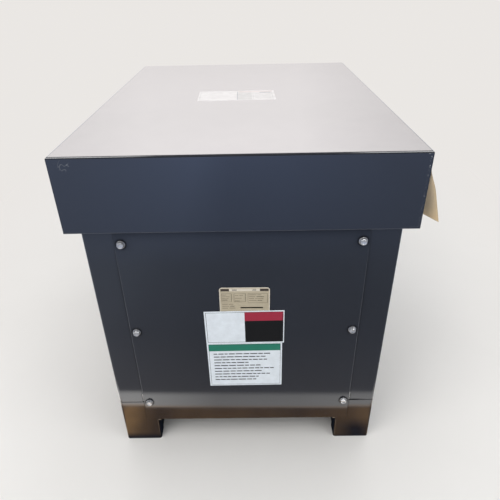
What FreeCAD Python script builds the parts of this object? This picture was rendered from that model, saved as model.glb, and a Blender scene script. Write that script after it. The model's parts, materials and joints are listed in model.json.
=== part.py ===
import FreeCAD, Part
import math
import os
from FreeCAD import Vector

# Single phase reactor in a ventilated sheet steel enclosure, in millimetres.
# Origin on the floor under the middle of the enclosure, X to the right, Y to the rear, Z up.
# The front of the enclosure faces -Y.

# Enclosure body
body_width = 457.0
terminal_clearance = 25.0   # terminal studs to the front of the body, which sets the body's depth
body_top = 522.0            # upper edge of the side panels, inside the cap
base_height = 100.0         # seam between the base channels and the side panels
sheet = 2.0                 # wall of every folded enclosure sheet
bend_radius = 2.0           # inside radius of the folds
fold_clearance = 0.5        # plates and ties beside the folds that they sit in
return_width = 65.0         # front and rear returns of the side panels and base channels
panel_flange = 25.0         # inward flanges along the top and bottom of a side panel
seam_gap = 0.8              # open joint between a side panel's returns and the base

# Base channels and feet
foot_depth = 65.0           # length of a foot along the side
foot_opening = 54.0         # height of the openings between the feet
foot_lip = 25.0             # lip folded back from the inner edge of a foot
foot_lip_height = 80.0
base_flange = 30.0          # inward flanges of a base channel, above and below
screw_tab_rise = 18.0       # tab of the base behind the lower corner of a panel
tab_inset = 1.0             # tab inside the panel's side edge
tab_clearance = 2.3         # open relief round the tab in the side panel's return
foot_plate_thickness = 4.0
foot_plate_depth = 60.0
anchor_inset = 32.0         # anchor holes from the outer faces of the body
anchor_hole_radius = 7.0

# Front and rear panels, laid over the returns
panel_width = 367.0
panel_drop = 1.0            # upper edge of the panels below that of the side panels
panel_return = 16.0         # stiffening folds along the top and bottom of a panel
panel_return_end = 25.5     # plain length of panel edge beside those folds
panel_screw_inset = 10.0    # screws from the panel's side edges
lowest_screw_height = 102.5
screw_row_spacing = 164.5
screw_rows = 3

# Cap
cap_overhang = 16.5
cap_rise = 46.0             # roof over the upper edge of the body
cap_height = 110.0
cap_bend = 3.0              # outside radius of the cap's upper edges

# Cap brackets
bracket_thickness = 3.0
bracket_width = 50.0
bracket_reach = 35.0        # upper foot of a bracket, under the cap's roof
bracket_position = 215.0    # brackets from the middle of the enclosure

# Top ties between the side panels
tie_leg = 30.0
tie_thickness = 2.0
tie_drop = 7.0              # tie below the upper edge of the side panels

# Rails that carry the core
rail_spacing = 260.0
rail_width = 45.0
rail_thickness = 4.0
rail_clearance = 0.3        # under the upper flange and beside the folds of the base channels
isolator_thickness = 10.0
isolator_length = 40.0
isolator_width = 34.0

# Core
core_stack = 100.0          # thickness of the lamination stack, along X
leg_width = 95.0
yoke_height = 85.0
leg_blocks = 3              # blocks in each gapped leg
block_height = 60.0
air_gap = 5.0
spacer_inset = 1.0          # gap spacers inside the edges of the blocks
yoke_rise = 5.0             # yoke inside the outer edge of its clamps

# Coils
former_gap = 1.5            # leg to former
former_wall = 3.0
inner_build = 20.0
duct_width = 10.0
outer_build = 21.5
coil_gap = 23.0             # between the two coils
coil_end_gap = 7.0          # coil to yoke
former_end_gap = 5.0        # former to yoke
winding_corner = 6.0        # corner radius of the turns, before the build over them
stick_width = 8.0
sticks_per_face = 4
stick_spacing = 22.0

# Clamps
clamp_height = 75.0
clamp_thickness = 5.0
clamp_inset = 13.0          # clamp edge inside the outer face of the coils
clamp_overlength = 13.0     # clamp beyond the tie rods
yoke_insulation = 3.0
tie_rod_clearance = 12.5    # tie rod beside the coil
clamp_bolt_clearance = 11.5 # clamp bolt beside the yoke's end
coil_block_length = 40.0
coil_block_clearance = 2.0  # coil blocks beside the folds of the clamps

# Conductors and terminals
bus_thickness = 4.0
bus_height = 30.0
bus_clearance = 7.0         # bar outside the clamps
bus_rise = 40.0             # lower edge of the terminal bars over the coils
riser_width = 30.0
link_rise = 10.0            # lower edge of the series link over the coils
link_height = 25.0
link_corner = 3.0
link_reach = 75.0           # half length of the series link
board_thickness = 10.0
board_height = 75.0
board_clearance = 4.0       # board edge to the bars beside it
board_standoff = 2.0        # board in front of the clamps
board_rise = 2.0            # board over the clamps
pad_length = 74.0
pad_hole_spacing = 44.5
pad_hole_edge = 18.0        # outer pad hole from the bar's outer face
strap_height = 18.0
strap_thickness = 4.0
strap_length = 42.0
strap_foot = 32.0
strap_bolt_reach = 19.0     # board bolts along the straps' front legs
strap_bolt_setback = 25.0
strap_clearance = 2.0       # straps under the flanges of the upper clamps

# Fasteners
panel_screw_radius = 3.0
panel_screw_length = 12.0
washer_head_radius = 6.5
washer_head_thickness = 1.4
washer_sides = 12           # the washer heads repeat, so they have few sides
screw_hex = 9.5
screw_hex_height = 4.0
light_bolt_radius = 3.0
light_hex = 10.0
light_hex_height = 4.0
medium_bolt_radius = 5.0
medium_hex = 16.0
medium_hex_height = 6.5
clamp_bolt_radius = 6.0
clamp_hex = 18.0
clamp_hex_height = 8.0
thread_reach = 3.0          # bolt end beyond its nut
stud_projection = 13.5      # terminal stud in front of its nut
hole_clearance = 0.5        # clearance hole over bolt radius
thread_clearance = 0.1      # nut bore over bolt radius
thread_sides = 8            # sides of the shanks, bores and bolt holes, which repeat and stay small

# Ground lug
lug_length = 26.0
lug_width = 16.0
lug_height = 14.0
lug_wire_radius = 4.5
lug_wire_depth = 9.0
lug_position = 150.0

# Paper envelope on the right side of the cap
envelope_length = 241.0
envelope_height = 105.0
envelope_thickness = 0.8
envelope_front_inset = 1.5  # from the cap's front face
envelope_bottom_inset = 0.3 # from the cap's lower edge
envelope_seat = 0.1         # adhesive between envelope and cap
curl_length = 64.0          # loose lower edge of the front corner
curl_radius = 30.0
curl_angle = 37.0

# Places worked out from the sizes above
half_width = body_width / 2
return_edge = half_width - return_width
inner_x = half_width - sheet
screw_x = panel_width / 2 - panel_screw_inset
screw_heights = [lowest_screw_height + row * screw_row_spacing for row in range(screw_rows)]
cap_half_width = half_width + cap_overhang
cap_top = body_top + cap_rise
cap_bottom = cap_top - cap_height
panel_top = body_top - panel_drop
roof_underside = cap_top - sheet
bracket_bolt_x = half_width - sheet - panel_flange / 2
anchor_x = half_width - anchor_inset

rail_y = rail_spacing / 2
rail_bottom = foot_opening + sheet
rail_top = base_height - sheet - rail_clearance
rail_half_length = inner_x - bend_radius - rail_clearance

clamp_bottom = rail_top + isolator_thickness
yoke_bottom = clamp_bottom + yoke_rise
leg_bottom = yoke_bottom + yoke_height
leg_length = leg_blocks * block_height + (leg_blocks + 1) * air_gap
leg_top = leg_bottom + leg_length
core_top = leg_top + yoke_height
coil_bottom = leg_bottom + coil_end_gap
coil_top = leg_top - coil_end_gap
coil_build = former_gap + former_wall + inner_build + duct_width + outer_build
leg_y = (leg_width + coil_gap) / 2 + coil_build
yoke_length = 2 * leg_y + leg_width
coil_half_x = core_stack / 2 + coil_build
clamp_inner = core_stack / 2 + yoke_insulation
clamp_outer = coil_half_x - clamp_inset
clamp_foot_x = (clamp_inner + clamp_thickness + clamp_outer) / 2
lower_clamp_top = clamp_bottom + clamp_height
upper_clamp_top = core_top + yoke_rise
upper_clamp_bottom = upper_clamp_top - clamp_height
clamp_levels = (clamp_bottom + clamp_height / 2, upper_clamp_top - clamp_height / 2)
tie_rod_y = leg_y + leg_width / 2 + coil_build + clamp_bolt_radius + tie_rod_clearance
clamp_half_length = tie_rod_y + clamp_overlength
clamp_bolt_y = yoke_length / 2 + clamp_bolt_radius + clamp_bolt_clearance

bus_x = clamp_outer + bus_clearance
bus_bottom = coil_top + bus_rise
bus_top = bus_bottom + bus_height
board_back = -(clamp_half_length + board_standoff)
board_front = board_back - board_thickness
board_half_width = bus_x - board_clearance
board_top = upper_clamp_top + board_rise
pad_front = board_front - bus_thickness
half_depth = terminal_clearance + stud_projection + medium_hex_height - pad_front
inner_y = half_depth - sheet
notch_half = half_depth - foot_depth
anchor_y = half_depth - anchor_inset
cap_half_depth = half_depth + cap_overhang
outer_pad_hole_x = bus_x + bus_thickness - pad_hole_edge
pad_hole_x = (outer_pad_hole_x - pad_hole_spacing, outer_pad_hole_x)
pad_hole_z = bus_bottom + bus_height / 2
strap_bottom = upper_clamp_top - clamp_thickness - strap_clearance - strap_height
strap_bolt_z = strap_bottom + strap_height / 2
strap_x = clamp_inner + clamp_thickness
strap_bolt_x = strap_x + strap_bolt_reach
strap_bolt_y = -clamp_half_length + strap_bolt_setback


def spot(axis, a, b, along):
    """Point with the coordinate along the axis, and a and b on the other two axes in X, Y, Z order."""
    if axis == "x":
        return Vector(along, a, b)
    if axis == "y":
        return Vector(a, along, b)
    return Vector(a, b, along)


def corner_cut(before, corner, after, radius):
    """Start, middle and end of the arc that rounds a corner of an outline."""
    towards = (before - corner).normalize()
    onward = (after - corner).normalize()
    opening = towards.getAngle(onward)
    reach = radius / math.tan(opening / 2)
    bisector = (towards + onward).normalize()
    centre = corner + bisector * (radius / math.sin(opening / 2))
    return corner + towards * reach, centre - bisector * radius, corner + onward * reach


def prism(outline, axis, start, end):
    """Solid square to the axis. The outline holds (a, b) corners, or (a, b, radius) for round ones."""
    corners = [spot(axis, point[0], point[1], start) for point in outline]
    radii = [point[2] if len(point) > 2 else 0.0 for point in outline]
    edges = []
    arcs = []
    for index, corner in enumerate(corners):
        if radii[index] > 0:
            after = corners[(index + 1) % len(corners)]
            arcs.append(corner_cut(corners[index - 1], corner, after, radii[index]))
        else:
            arcs.append((corner, None, corner))
    for index, arc in enumerate(arcs):
        if arc[1] is not None:
            edges.append(Part.Arc(*arc).toShape())
        onward = arcs[(index + 1) % len(arcs)][0]
        if arc[2].distanceToPoint(onward) > 1e-6:
            edges.append(Part.LineSegment(arc[2], onward).toShape())
    face = Part.Face(Part.Wire(edges))
    return face.extrude(spot(axis, 0, 0, end - start))


def folded(path, thickness, radius):
    """Outline of a sheet folded along the path, with the metal on its left. Radius 0 leaves sharp folds."""
    points = [Vector(a, b, 0) for a, b in path]
    steps = [(onward - point).normalize() for point, onward in zip(points, points[1:])]
    normals = [Vector(-step.y, step.x, 0) for step in steps]
    near = [(points[0].x, points[0].y)]
    start = points[0] + normals[0] * thickness
    far = [(start.x, start.y)]
    for index in range(1, len(points) - 1):
        first, second = normals[index - 1], normals[index]
        shift = (first + second) * (thickness / (1 + first.dot(second)))
        turns_left = steps[index - 1].cross(steps[index]).z > 0
        wide_radius = radius + thickness if radius > 0 else 0.0
        near_radius, far_radius = (wide_radius, radius) if turns_left else (radius, wide_radius)
        near.append((points[index].x, points[index].y, near_radius))
        far.append((points[index].x + shift.x, points[index].y + shift.y, far_radius))
    end = points[-1] + normals[-1] * thickness
    near.append((points[-1].x, points[-1].y))
    far.append((end.x, end.y))
    return near + far[::-1]


def block(x0, x1, y0, y1, z0, z1):
    """Plain rectangular solid between six faces."""
    return Part.makeBox(x1 - x0, y1 - y0, z1 - z0, Vector(x0, y0, z0))


def rounded_box(x0, x1, y0, y1, z0, z1, radius):
    """Upright solid with round vertical edges."""
    corners = [(x0, y0, radius), (x1, y0, radius), (x1, y1, radius), (x0, y1, radius)]
    return prism(corners, "z", z0, z1)


def rod(radius, start, end):
    """Round bar from one point to another."""
    span = end - start
    return Part.makeCylinder(radius, span.Length, start, span)


def many_sided(sides, reach, height):
    """Upright prism of equal sides on the origin, with its corners at the reach."""
    angles = [2 * math.pi * side / sides for side in range(sides)]
    ring = [Vector(reach * math.cos(angle), reach * math.sin(angle), 0) for angle in angles]
    return Part.Face(Part.makePolygon(ring + ring[:1])).extrude(Vector(0, 0, height))


def placed(shape, seat, direction):
    """The shape with its own Z turned to the direction, on the seat."""
    turned = shape.copy()
    turned.Placement = FreeCAD.Placement(seat, FreeCAD.Rotation(Vector(0, 0, 1), direction))
    return turned


def threaded(radius, start, end):
    """Shank or bore of a fastener from one point to another, with its thread left out."""
    span = end - start
    return placed(many_sided(thread_sides, radius, span.Length), start, span)


def holes(shape, radius, starts, step):
    """The shape with a bolt hole through it from each start along the step."""
    return shape.cut([threaded(radius, start, start + step) for start in starts])


def fused(shapes):
    """One solid from shapes that share faces or overlap."""
    return shapes[0].fuse(shapes[1:]).removeSplitter()


def hexagon(across, height):
    """Hexagonal prism on the origin, upwards."""
    return many_sided(6, across / math.sqrt(3), height)


def bolt(across, head, radius, length):
    """Hexagon head bolt: the head stands up from the origin and the shank goes down."""
    shank = threaded(radius, Vector(0, 0, -length), Vector(0, 0, head / 2))
    return fused([hexagon(across, head), shank])


def nut(across, height, radius):
    """Hexagon nut standing up from the origin."""
    bore = threaded(radius + thread_clearance, Vector(0, 0, -1), Vector(0, 0, height + 1))
    return hexagon(across, height).cut(bore)


def mirrored(shape, axis):
    """Copy on the other side of the middle plane across X or Y."""
    normal = Vector(1, 0, 0) if axis == "x" else Vector(0, 1, 0)
    return shape.mirror(Vector(0, 0, 0), normal)


def at_both(shape, axis):
    """The shape and its copy across the middle."""
    return [shape, mirrored(shape, axis)]


def at_corners(shape):
    """The shape at all four corners of the plan."""
    return [copy for half in at_both(shape, "x") for copy in at_both(half, "y")]


def save(name, shapes):
    """Write one node, which is one solid or a group of like solids."""
    solids = shapes if isinstance(shapes, list) else [shapes]
    shape = solids[0] if len(solids) == 1 else Part.makeCompound(solids)
    shape.exportStep("parts/" + name + ".step")


# Enclosure

def base_channel():
    """Right base channel: side web, two feet with lips, inward flanges and a screw tab at each end."""
    returns = [(return_edge, -half_depth), (half_width, -half_depth), (half_width, half_depth),
               (return_edge, half_depth)]
    lipped = [(return_edge, -half_depth + foot_lip)] + returns + [(return_edge, half_depth - foot_lip)]
    lower = prism(folded(lipped, sheet, bend_radius), "z", 0, foot_lip_height)
    upper = prism(folded(returns, sheet, bend_radius), "z", foot_lip_height, base_height)
    ends = fused([lower, upper])
    ends = ends.cut(block(inner_x - 1, half_width + 1, -notch_half, notch_half, -1, base_height + 1))
    flanged = [(half_width - base_flange, foot_opening), (half_width, foot_opening),
               (half_width, base_height), (half_width - base_flange, base_height)]
    web = prism(folded(flanged, sheet, bend_radius), "y", -notch_half, notch_half)
    tab_edge = panel_width / 2 - tab_inset
    tab = block(return_edge, tab_edge, -half_depth, -inner_y, base_height - 1, base_height + screw_tab_rise)
    channel = fused([ends, web] + at_both(tab, "y"))
    screw_starts = [Vector(screw_x, -half_depth - 1, lowest_screw_height)]
    return holes(channel, panel_screw_radius + hole_clearance, screw_starts, Vector(0, 2 * half_depth + 2, 0))


def foot_plate():
    """Front right anchor plate, welded in the corner of its foot."""
    edge = return_edge + sheet
    rear = -inner_y + foot_plate_depth
    clear = bend_radius + fold_clearance
    corners = [(edge, -inner_y + clear), (edge + clear, -inner_y), (inner_x - clear, -inner_y),
               (inner_x, -inner_y + clear), (inner_x, rear), (edge, rear)]
    plate = prism(corners, "z", 0, foot_plate_thickness)
    anchor = rod(anchor_hole_radius, Vector(anchor_x, -anchor_y, -1),
                 Vector(anchor_x, -anchor_y, foot_plate_thickness + 1))
    return plate.cut(anchor)


def side_panel():
    """Right side panel: web with front and rear returns, and inward flanges above and, on the base, below."""
    flange_end = half_depth - panel_flange - sheet
    returns = [(return_edge, -half_depth), (half_width, -half_depth), (half_width, half_depth),
               (return_edge, half_depth)]
    ends = prism(folded(returns, sheet, bend_radius), "z", base_height + seam_gap, body_top)
    ends = ends.cut(block(inner_x - 1, half_width + 1, -flange_end, flange_end, 0, body_top + 1))
    flanged = [(half_width - panel_flange, base_height), (half_width, base_height),
               (half_width, body_top), (half_width - panel_flange, body_top)]
    web = prism(folded(flanged, sheet, bend_radius), "y", -flange_end, flange_end)
    panel = fused([ends, web])
    relief_edge = panel_width / 2 + tab_clearance
    relief_top = base_height + screw_tab_rise + tab_clearance
    relief = block(return_edge - 1, relief_edge, -half_depth - 1, -inner_y + bend_radius, base_height,
                   relief_top)
    panel = panel.cut(at_both(relief, "y"))
    screw_starts = [Vector(screw_x, -half_depth - 1, z) for z in screw_heights[1:]]
    panel = holes(panel, panel_screw_radius + hole_clearance, screw_starts, Vector(0, 2 * half_depth + 2, 0))
    places = (-bracket_position, bracket_position)
    starts = [Vector(bracket_bolt_x, y, body_top - sheet - 1) for y in places]
    return holes(panel, light_bolt_radius + hole_clearance, starts, Vector(0, 0, sheet + 2))


def front_panel():
    """Front panel: flat sheet with plain side edges, folded back along the top and bottom between them."""
    outer = -half_depth - sheet
    plain = panel_width / 2 - panel_return_end
    path = [(outer + panel_return, panel_top), (outer, panel_top), (outer, foot_opening),
            (outer + panel_return, foot_opening)]
    middle = prism(folded(path, sheet, bend_radius), "x", -plain, plain)
    edge = block(plain, panel_width / 2, outer, -half_depth, foot_opening, panel_top)
    panel = fused([middle] + at_both(edge, "x"))
    starts = [Vector(x, outer - 1, z) for x in (-screw_x, screw_x) for z in screw_heights]
    return holes(panel, panel_screw_radius + hole_clearance, starts, Vector(0, sheet + 2, 0))


def top_tie():
    """Front top tie: folded angle welded behind the returns of the two side panels."""
    face = -inner_y
    tie_top = body_top - tie_drop
    reach = inner_x - bend_radius - fold_clearance
    path = [(face + tie_leg, tie_top), (face, tie_top), (face, tie_top - tie_leg)]
    return prism(folded(path, tie_thickness, bend_radius), "x", -reach, reach)


def top_cap():
    """Cap: roof and four skirts folded from one sheet, with welded corners, open below."""
    outside = block(-cap_half_width, cap_half_width, -cap_half_depth, cap_half_depth, cap_bottom, cap_top)
    rim = [edge for edge in outside.Edges if edge.BoundBox.ZMin > cap_bottom + 1]
    outside = outside.makeFillet(cap_bend, rim)
    inner_half_width, inner_half_depth = cap_half_width - sheet, cap_half_depth - sheet
    inside = block(-inner_half_width, inner_half_width, -inner_half_depth, inner_half_depth, cap_bottom - 1,
                   roof_underside)
    return outside.cut(inside)


def cap_bracket():
    """Front right cap bracket: stands on the side panel's upper flange and is welded under the roof."""
    web = half_width - panel_flange
    foot_end = inner_x - bend_radius
    path = [(web + bracket_reach, roof_underside), (web, roof_underside), (web, body_top),
            (foot_end, body_top)]
    near, far = -bracket_position - bracket_width / 2, -bracket_position + bracket_width / 2
    bracket = prism(folded(path, bracket_thickness, 0), "y", near, far)
    start = Vector(bracket_bolt_x, -bracket_position, body_top - 1)
    return holes(bracket, light_bolt_radius + hole_clearance, [start], Vector(0, 0, bracket_thickness + 2))


def panel_screws():
    """Hex washer head screws of both panels, which cut their thread in the returns behind."""
    washer = many_sided(washer_sides, washer_head_radius, washer_head_thickness)
    head = hexagon(screw_hex, washer_head_thickness + screw_hex_height)
    shank = threaded(panel_screw_radius, Vector(0, 0, -panel_screw_length), Vector(0, 0, 1))
    screw = fused([washer, head, shank])
    face = -half_depth - sheet
    front = [placed(screw, Vector(x, face, z), Vector(0, -1, 0)) for x in (-screw_x, screw_x)
             for z in screw_heights]
    return [copy for one in front for copy in at_both(one, "y")]


def bracket_bolts():
    """Bolts that hold the cap brackets on the upper flanges of the side panels."""
    length = sheet + bracket_thickness + light_hex_height + thread_reach
    one = bolt(light_hex, light_hex_height, light_bolt_radius, length)
    seat = Vector(bracket_bolt_x, -bracket_position, body_top + bracket_thickness)
    return at_corners(placed(one, seat, Vector(0, 0, 1)))


def small_nuts():
    """Nuts of the bracket bolts, of the strap bolts and of the ground bolt."""
    one = nut(light_hex, light_hex_height, light_bolt_radius)
    under_flange = Vector(bracket_bolt_x, -bracket_position, body_top - sheet)
    behind_board = Vector(strap_bolt_x, board_back + strap_thickness, strap_bolt_z)
    inside_clamp = Vector(clamp_inner, strap_bolt_y, strap_bolt_z)
    under_rail = Vector(lug_position, -rail_y, rail_top - rail_thickness)
    nuts = at_corners(placed(one, under_flange, Vector(0, 0, -1)))
    nuts += at_both(placed(one, behind_board, Vector(0, 1, 0)), "x")
    nuts += at_both(placed(one, inside_clamp, Vector(-1, 0, 0)), "x")
    return nuts + [placed(one, under_rail, Vector(0, 0, -1))]


# Core support

def core_rail():
    """Front rail: channel across the base, welded on the lower flanges of the base channels."""
    web = -rail_y - rail_width / 2
    path = [(web + rail_width, rail_top), (web, rail_top), (web, rail_bottom),
            (web + rail_width, rail_bottom)]
    rail = prism(folded(path, rail_thickness, bend_radius), "x", -rail_half_length, rail_half_length)
    under = rail_top - rail_thickness - 1
    step = Vector(0, 0, rail_thickness + 2)
    pad_starts = [Vector(x, -rail_y, under) for x in (-clamp_foot_x, clamp_foot_x)]
    rail = holes(rail, medium_bolt_radius + hole_clearance, pad_starts, step)
    return holes(rail, light_bolt_radius + hole_clearance, [Vector(lug_position, -rail_y, under)], step)


def core_isolator():
    """Front right rubber pad between a rail and the foot of a lower clamp."""
    pad = block(clamp_foot_x - isolator_width / 2, clamp_foot_x + isolator_width / 2,
                -rail_y - isolator_length / 2, -rail_y + isolator_length / 2, rail_top, clamp_bottom)
    start = Vector(clamp_foot_x, -rail_y, rail_top - 1)
    return holes(pad, medium_bolt_radius + hole_clearance, [start], Vector(0, 0, isolator_thickness + 2))


def isolator_bolts():
    """Bolts through the clamp feet, the pads and the upper flanges of the rails."""
    length = clamp_thickness + isolator_thickness + rail_thickness + medium_hex_height + thread_reach
    one = bolt(medium_hex, medium_hex_height, medium_bolt_radius, length)
    seat = Vector(clamp_foot_x, -rail_y, clamp_bottom + clamp_thickness)
    return at_corners(placed(one, seat, Vector(0, 0, 1)))


def medium_nuts():
    """Nuts of the isolator bolts and of the terminal studs."""
    one = nut(medium_hex, medium_hex_height, medium_bolt_radius)
    under_rail = Vector(clamp_foot_x, -rail_y, rail_top - rail_thickness)
    nuts = at_corners(placed(one, under_rail, Vector(0, 0, -1)))
    for x in pad_hole_x:
        nuts += at_both(placed(one, Vector(x, pad_front, pad_hole_z), Vector(0, -1, 0)), "x")
    return nuts


# Core and clamps

def clamp(bottom, bolted_flange, rod_flange):
    """Right clamp: channel along the yoke with its flanges outwards, bolted through its web."""
    top = bottom + clamp_height
    path = [(clamp_outer, bottom), (clamp_inner, bottom), (clamp_inner, top), (clamp_outer, top)]
    turned = [(a, b) for a, b in reversed(path)]
    channel = prism(folded(turned, clamp_thickness, bend_radius), "y", -clamp_half_length, clamp_half_length)
    middle = (bottom + top) / 2
    radius = clamp_bolt_radius + hole_clearance
    web_starts = [Vector(clamp_inner - 1, y, middle) for y in (-clamp_bolt_y, clamp_bolt_y)]
    channel = holes(channel, radius, web_starts, Vector(clamp_thickness + 2, 0, 0))
    rod_starts = [Vector(clamp_foot_x, y, rod_flange - 1) for y in (-tie_rod_y, tie_rod_y)]
    channel = holes(channel, radius, rod_starts, Vector(0, 0, clamp_thickness + 2))
    if bolted_flange:
        starts = [Vector(clamp_foot_x, y, bottom - 1) for y in (-rail_y, rail_y)]
        return holes(channel, medium_bolt_radius + hole_clearance, starts, Vector(0, 0, clamp_thickness + 2))
    starts = [Vector(clamp_inner - 1, strap_bolt_y, strap_bolt_z)]
    return holes(channel, light_bolt_radius + hole_clearance, starts, Vector(clamp_thickness + 2, 0, 0))


def yoke(bottom):
    """Laminated yoke across the two legs."""
    half = core_stack / 2
    return block(-half, half, -yoke_length / 2, yoke_length / 2, bottom, bottom + yoke_height)


def leg_stack(y):
    """Core blocks of one leg, with an air gap below each and above the last."""
    half = core_stack / 2
    levels = [leg_bottom + air_gap + index * (block_height + air_gap) for index in range(leg_blocks)]
    return [block(-half, half, y - leg_width / 2, y + leg_width / 2, z, z + block_height) for z in levels]


def gap_spacers(y):
    """Insulating plates that fill the air gaps of one leg."""
    half_x = core_stack / 2 - spacer_inset
    half_y = leg_width / 2 - spacer_inset
    levels = [leg_bottom + index * (block_height + air_gap) for index in range(leg_blocks + 1)]
    return [block(-half_x, half_x, y - half_y, y + half_y, z, z + air_gap) for z in levels]


def yoke_liners():
    """Insulation between the yokes and the webs of the clamps."""
    half = core_stack / 2
    lower_end = min(lower_clamp_top, yoke_bottom + yoke_height)
    upper_start = max(upper_clamp_bottom, leg_top)
    lower = block(half, clamp_inner, -yoke_length / 2, yoke_length / 2, yoke_bottom, lower_end)
    upper = block(half, clamp_inner, -yoke_length / 2, yoke_length / 2, upper_start, core_top)
    return at_both(lower, "x") + at_both(upper, "x")


def clamp_bolts():
    """Bolts through both clamps of a yoke, just beyond the yoke's ends."""
    outer = clamp_inner + clamp_thickness
    length = 2 * outer + clamp_hex_height + thread_reach
    one = bolt(clamp_hex, clamp_hex_height, clamp_bolt_radius, length)
    bolts = []
    for z in clamp_levels:
        bolts += at_both(placed(one, Vector(outer, -clamp_bolt_y, z), Vector(1, 0, 0)), "y")
    return bolts


def tie_rods():
    """Threaded rods that pull the upper clamps down to the lower ones."""
    low = lower_clamp_top - clamp_thickness - clamp_hex_height - thread_reach
    high = upper_clamp_bottom + clamp_thickness + clamp_hex_height + thread_reach
    start = Vector(clamp_foot_x, -tie_rod_y, low)
    return at_corners(threaded(clamp_bolt_radius, start, start + Vector(0, 0, high - low)))


def large_nuts():
    """Nuts of the clamp bolts and of both ends of the tie rods."""
    one = nut(clamp_hex, clamp_hex_height, clamp_bolt_radius)
    outer = clamp_inner + clamp_thickness
    below = Vector(clamp_foot_x, -tie_rod_y, lower_clamp_top - clamp_thickness)
    above = Vector(clamp_foot_x, -tie_rod_y, upper_clamp_bottom + clamp_thickness)
    nuts = at_corners(placed(one, below, Vector(0, 0, -1)))
    nuts += at_corners(placed(one, above, Vector(0, 0, 1)))
    for z in clamp_levels:
        nuts += at_both(placed(one, Vector(-outer, -clamp_bolt_y, z), Vector(-1, 0, 0)), "y")
    return nuts


# Coils

def around_leg(y, distance, z0, z1):
    """Upright solid round a leg, with its sides at a distance from the leg's faces."""
    x_reach, y_reach = core_stack / 2 + distance, leg_width / 2 + distance
    return block(-x_reach, x_reach, y - y_reach, y + y_reach, z0, z1)


def upright_edges(solid):
    """Edges of a solid along Z."""
    return [edge for edge in solid.Edges if edge.BoundBox.ZLength > 1]


def coil_former(y):
    """Insulating tube that the coil is wound on, folded square from board."""
    low, high = leg_bottom + former_end_gap, leg_top - former_end_gap
    return around_leg(y, former_gap + former_wall, low, high).cut(around_leg(y, former_gap, low, high))


def inner_winding(y):
    """First winding section, tight on the former, with blunt outer corners."""
    start = former_gap + former_wall
    outside = around_leg(y, start + inner_build, coil_bottom, coil_top)
    outside = outside.makeChamfer(inner_build / 2, upright_edges(outside))
    return outside.cut(around_leg(y, start, coil_bottom, coil_top))


def duct_sticks(y):
    """Upright spacer sticks in the cooling duct between the winding sections."""
    near = former_gap + former_wall + inner_build
    far = near + duct_width
    half_x, half_y, half = core_stack / 2, leg_width / 2, stick_width / 2
    sticks = []
    for index in range(sticks_per_face):
        place = (index - (sticks_per_face - 1) / 2) * stick_spacing
        low, high = y + place - half, y + place + half
        sticks += [block(half_x + near, half_x + far, low, high, coil_bottom, coil_top),
                   block(-half_x - far, -half_x - near, low, high, coil_bottom, coil_top)]
        low, high = place - half, place + half
        sticks += [block(low, high, y + half_y + near, y + half_y + far, coil_bottom, coil_top),
                   block(low, high, y - half_y - far, y - half_y - near, coil_bottom, coil_top)]
    return sticks


def outer_winding(y):
    """Second winding section, outside the duct, with round outer corners."""
    outside = around_leg(y, coil_build, coil_bottom, coil_top)
    outside = outside.makeFillet(winding_corner + coil_build, upright_edges(outside))
    inside = around_leg(y, coil_build - outer_build, coil_bottom, coil_top)
    return outside.cut(inside.makeChamfer((inner_build + duct_width) / 2, upright_edges(inside)))


def coil_blocks():
    """Blocks that hold the coils down on the lower clamps and under the upper ones."""
    inner = clamp_inner + clamp_thickness + coil_block_clearance
    near, far = -leg_y - coil_block_length / 2, -leg_y + coil_block_length / 2
    blocks = at_corners(block(inner, clamp_outer, near, far, lower_clamp_top, coil_bottom))
    return blocks + at_corners(block(inner, clamp_outer, near, far, coil_top, upper_clamp_bottom))


# Conductors and terminals

def terminal_bar(riser_y):
    """Right bar from a coil to its terminal pad: riser, run to the front and pad across the board."""
    outer = bus_x + bus_thickness
    rear = riser_y + riser_width / 2
    path = [(outer - pad_length, pad_front), (outer, pad_front), (outer, rear)]
    run = prism(folded(path, bus_thickness, bus_thickness), "z", bus_bottom, bus_top)
    riser = block(bus_x, outer, rear - riser_width, rear, coil_top, bus_top)
    bar = fused([run, riser])
    starts = [Vector(x, pad_front - 1, pad_hole_z) for x in pad_hole_x]
    return holes(bar, medium_bolt_radius + hole_clearance, starts, Vector(0, bus_thickness + 2, 0))


def series_link():
    """Left bar that joins the two coils in series."""
    low = coil_top + link_rise
    high = low + link_height
    inner = link_reach - link_height
    corners = [(-link_reach, coil_top), (-inner, coil_top), (-inner, low), (inner, low), (inner, coil_top),
               (link_reach, coil_top), (link_reach, high, link_corner), (-link_reach, high, link_corner)]
    return prism(corners, "x", -bus_x - bus_thickness, -bus_x)


def terminal_board():
    """Insulating board that carries the terminal pads."""
    bottom = board_top - board_height
    board = block(-board_half_width, board_half_width, board_front, board_back, bottom, board_top)
    stud_starts = [Vector(side * x, board_front - 1, pad_hole_z) for x in pad_hole_x for side in (-1, 1)]
    board = holes(board, medium_bolt_radius + hole_clearance, stud_starts, Vector(0, board_thickness + 2, 0))
    bolt_starts = [Vector(side * strap_bolt_x, board_front - 1, strap_bolt_z) for side in (-1, 1)]
    return holes(board, light_bolt_radius + hole_clearance, bolt_starts, Vector(0, board_thickness + 2, 0))


def board_strap():
    """Right angle strap from an upper clamp to the terminal board."""
    path = [(strap_x + strap_foot, board_back), (strap_x, board_back), (strap_x, board_back + strap_length)]
    turned = [(a, b) for a, b in reversed(path)]
    strap = prism(folded(turned, strap_thickness, 0), "z", strap_bottom, strap_bottom + strap_height)
    radius = light_bolt_radius + hole_clearance
    board_start = Vector(strap_bolt_x, board_back - 1, strap_bolt_z)
    strap = holes(strap, radius, [board_start], Vector(0, strap_thickness + 2, 0))
    clamp_start = Vector(strap_x - 1, strap_bolt_y, strap_bolt_z)
    return holes(strap, radius, [clamp_start], Vector(strap_thickness + 2, 0, 0))


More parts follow.
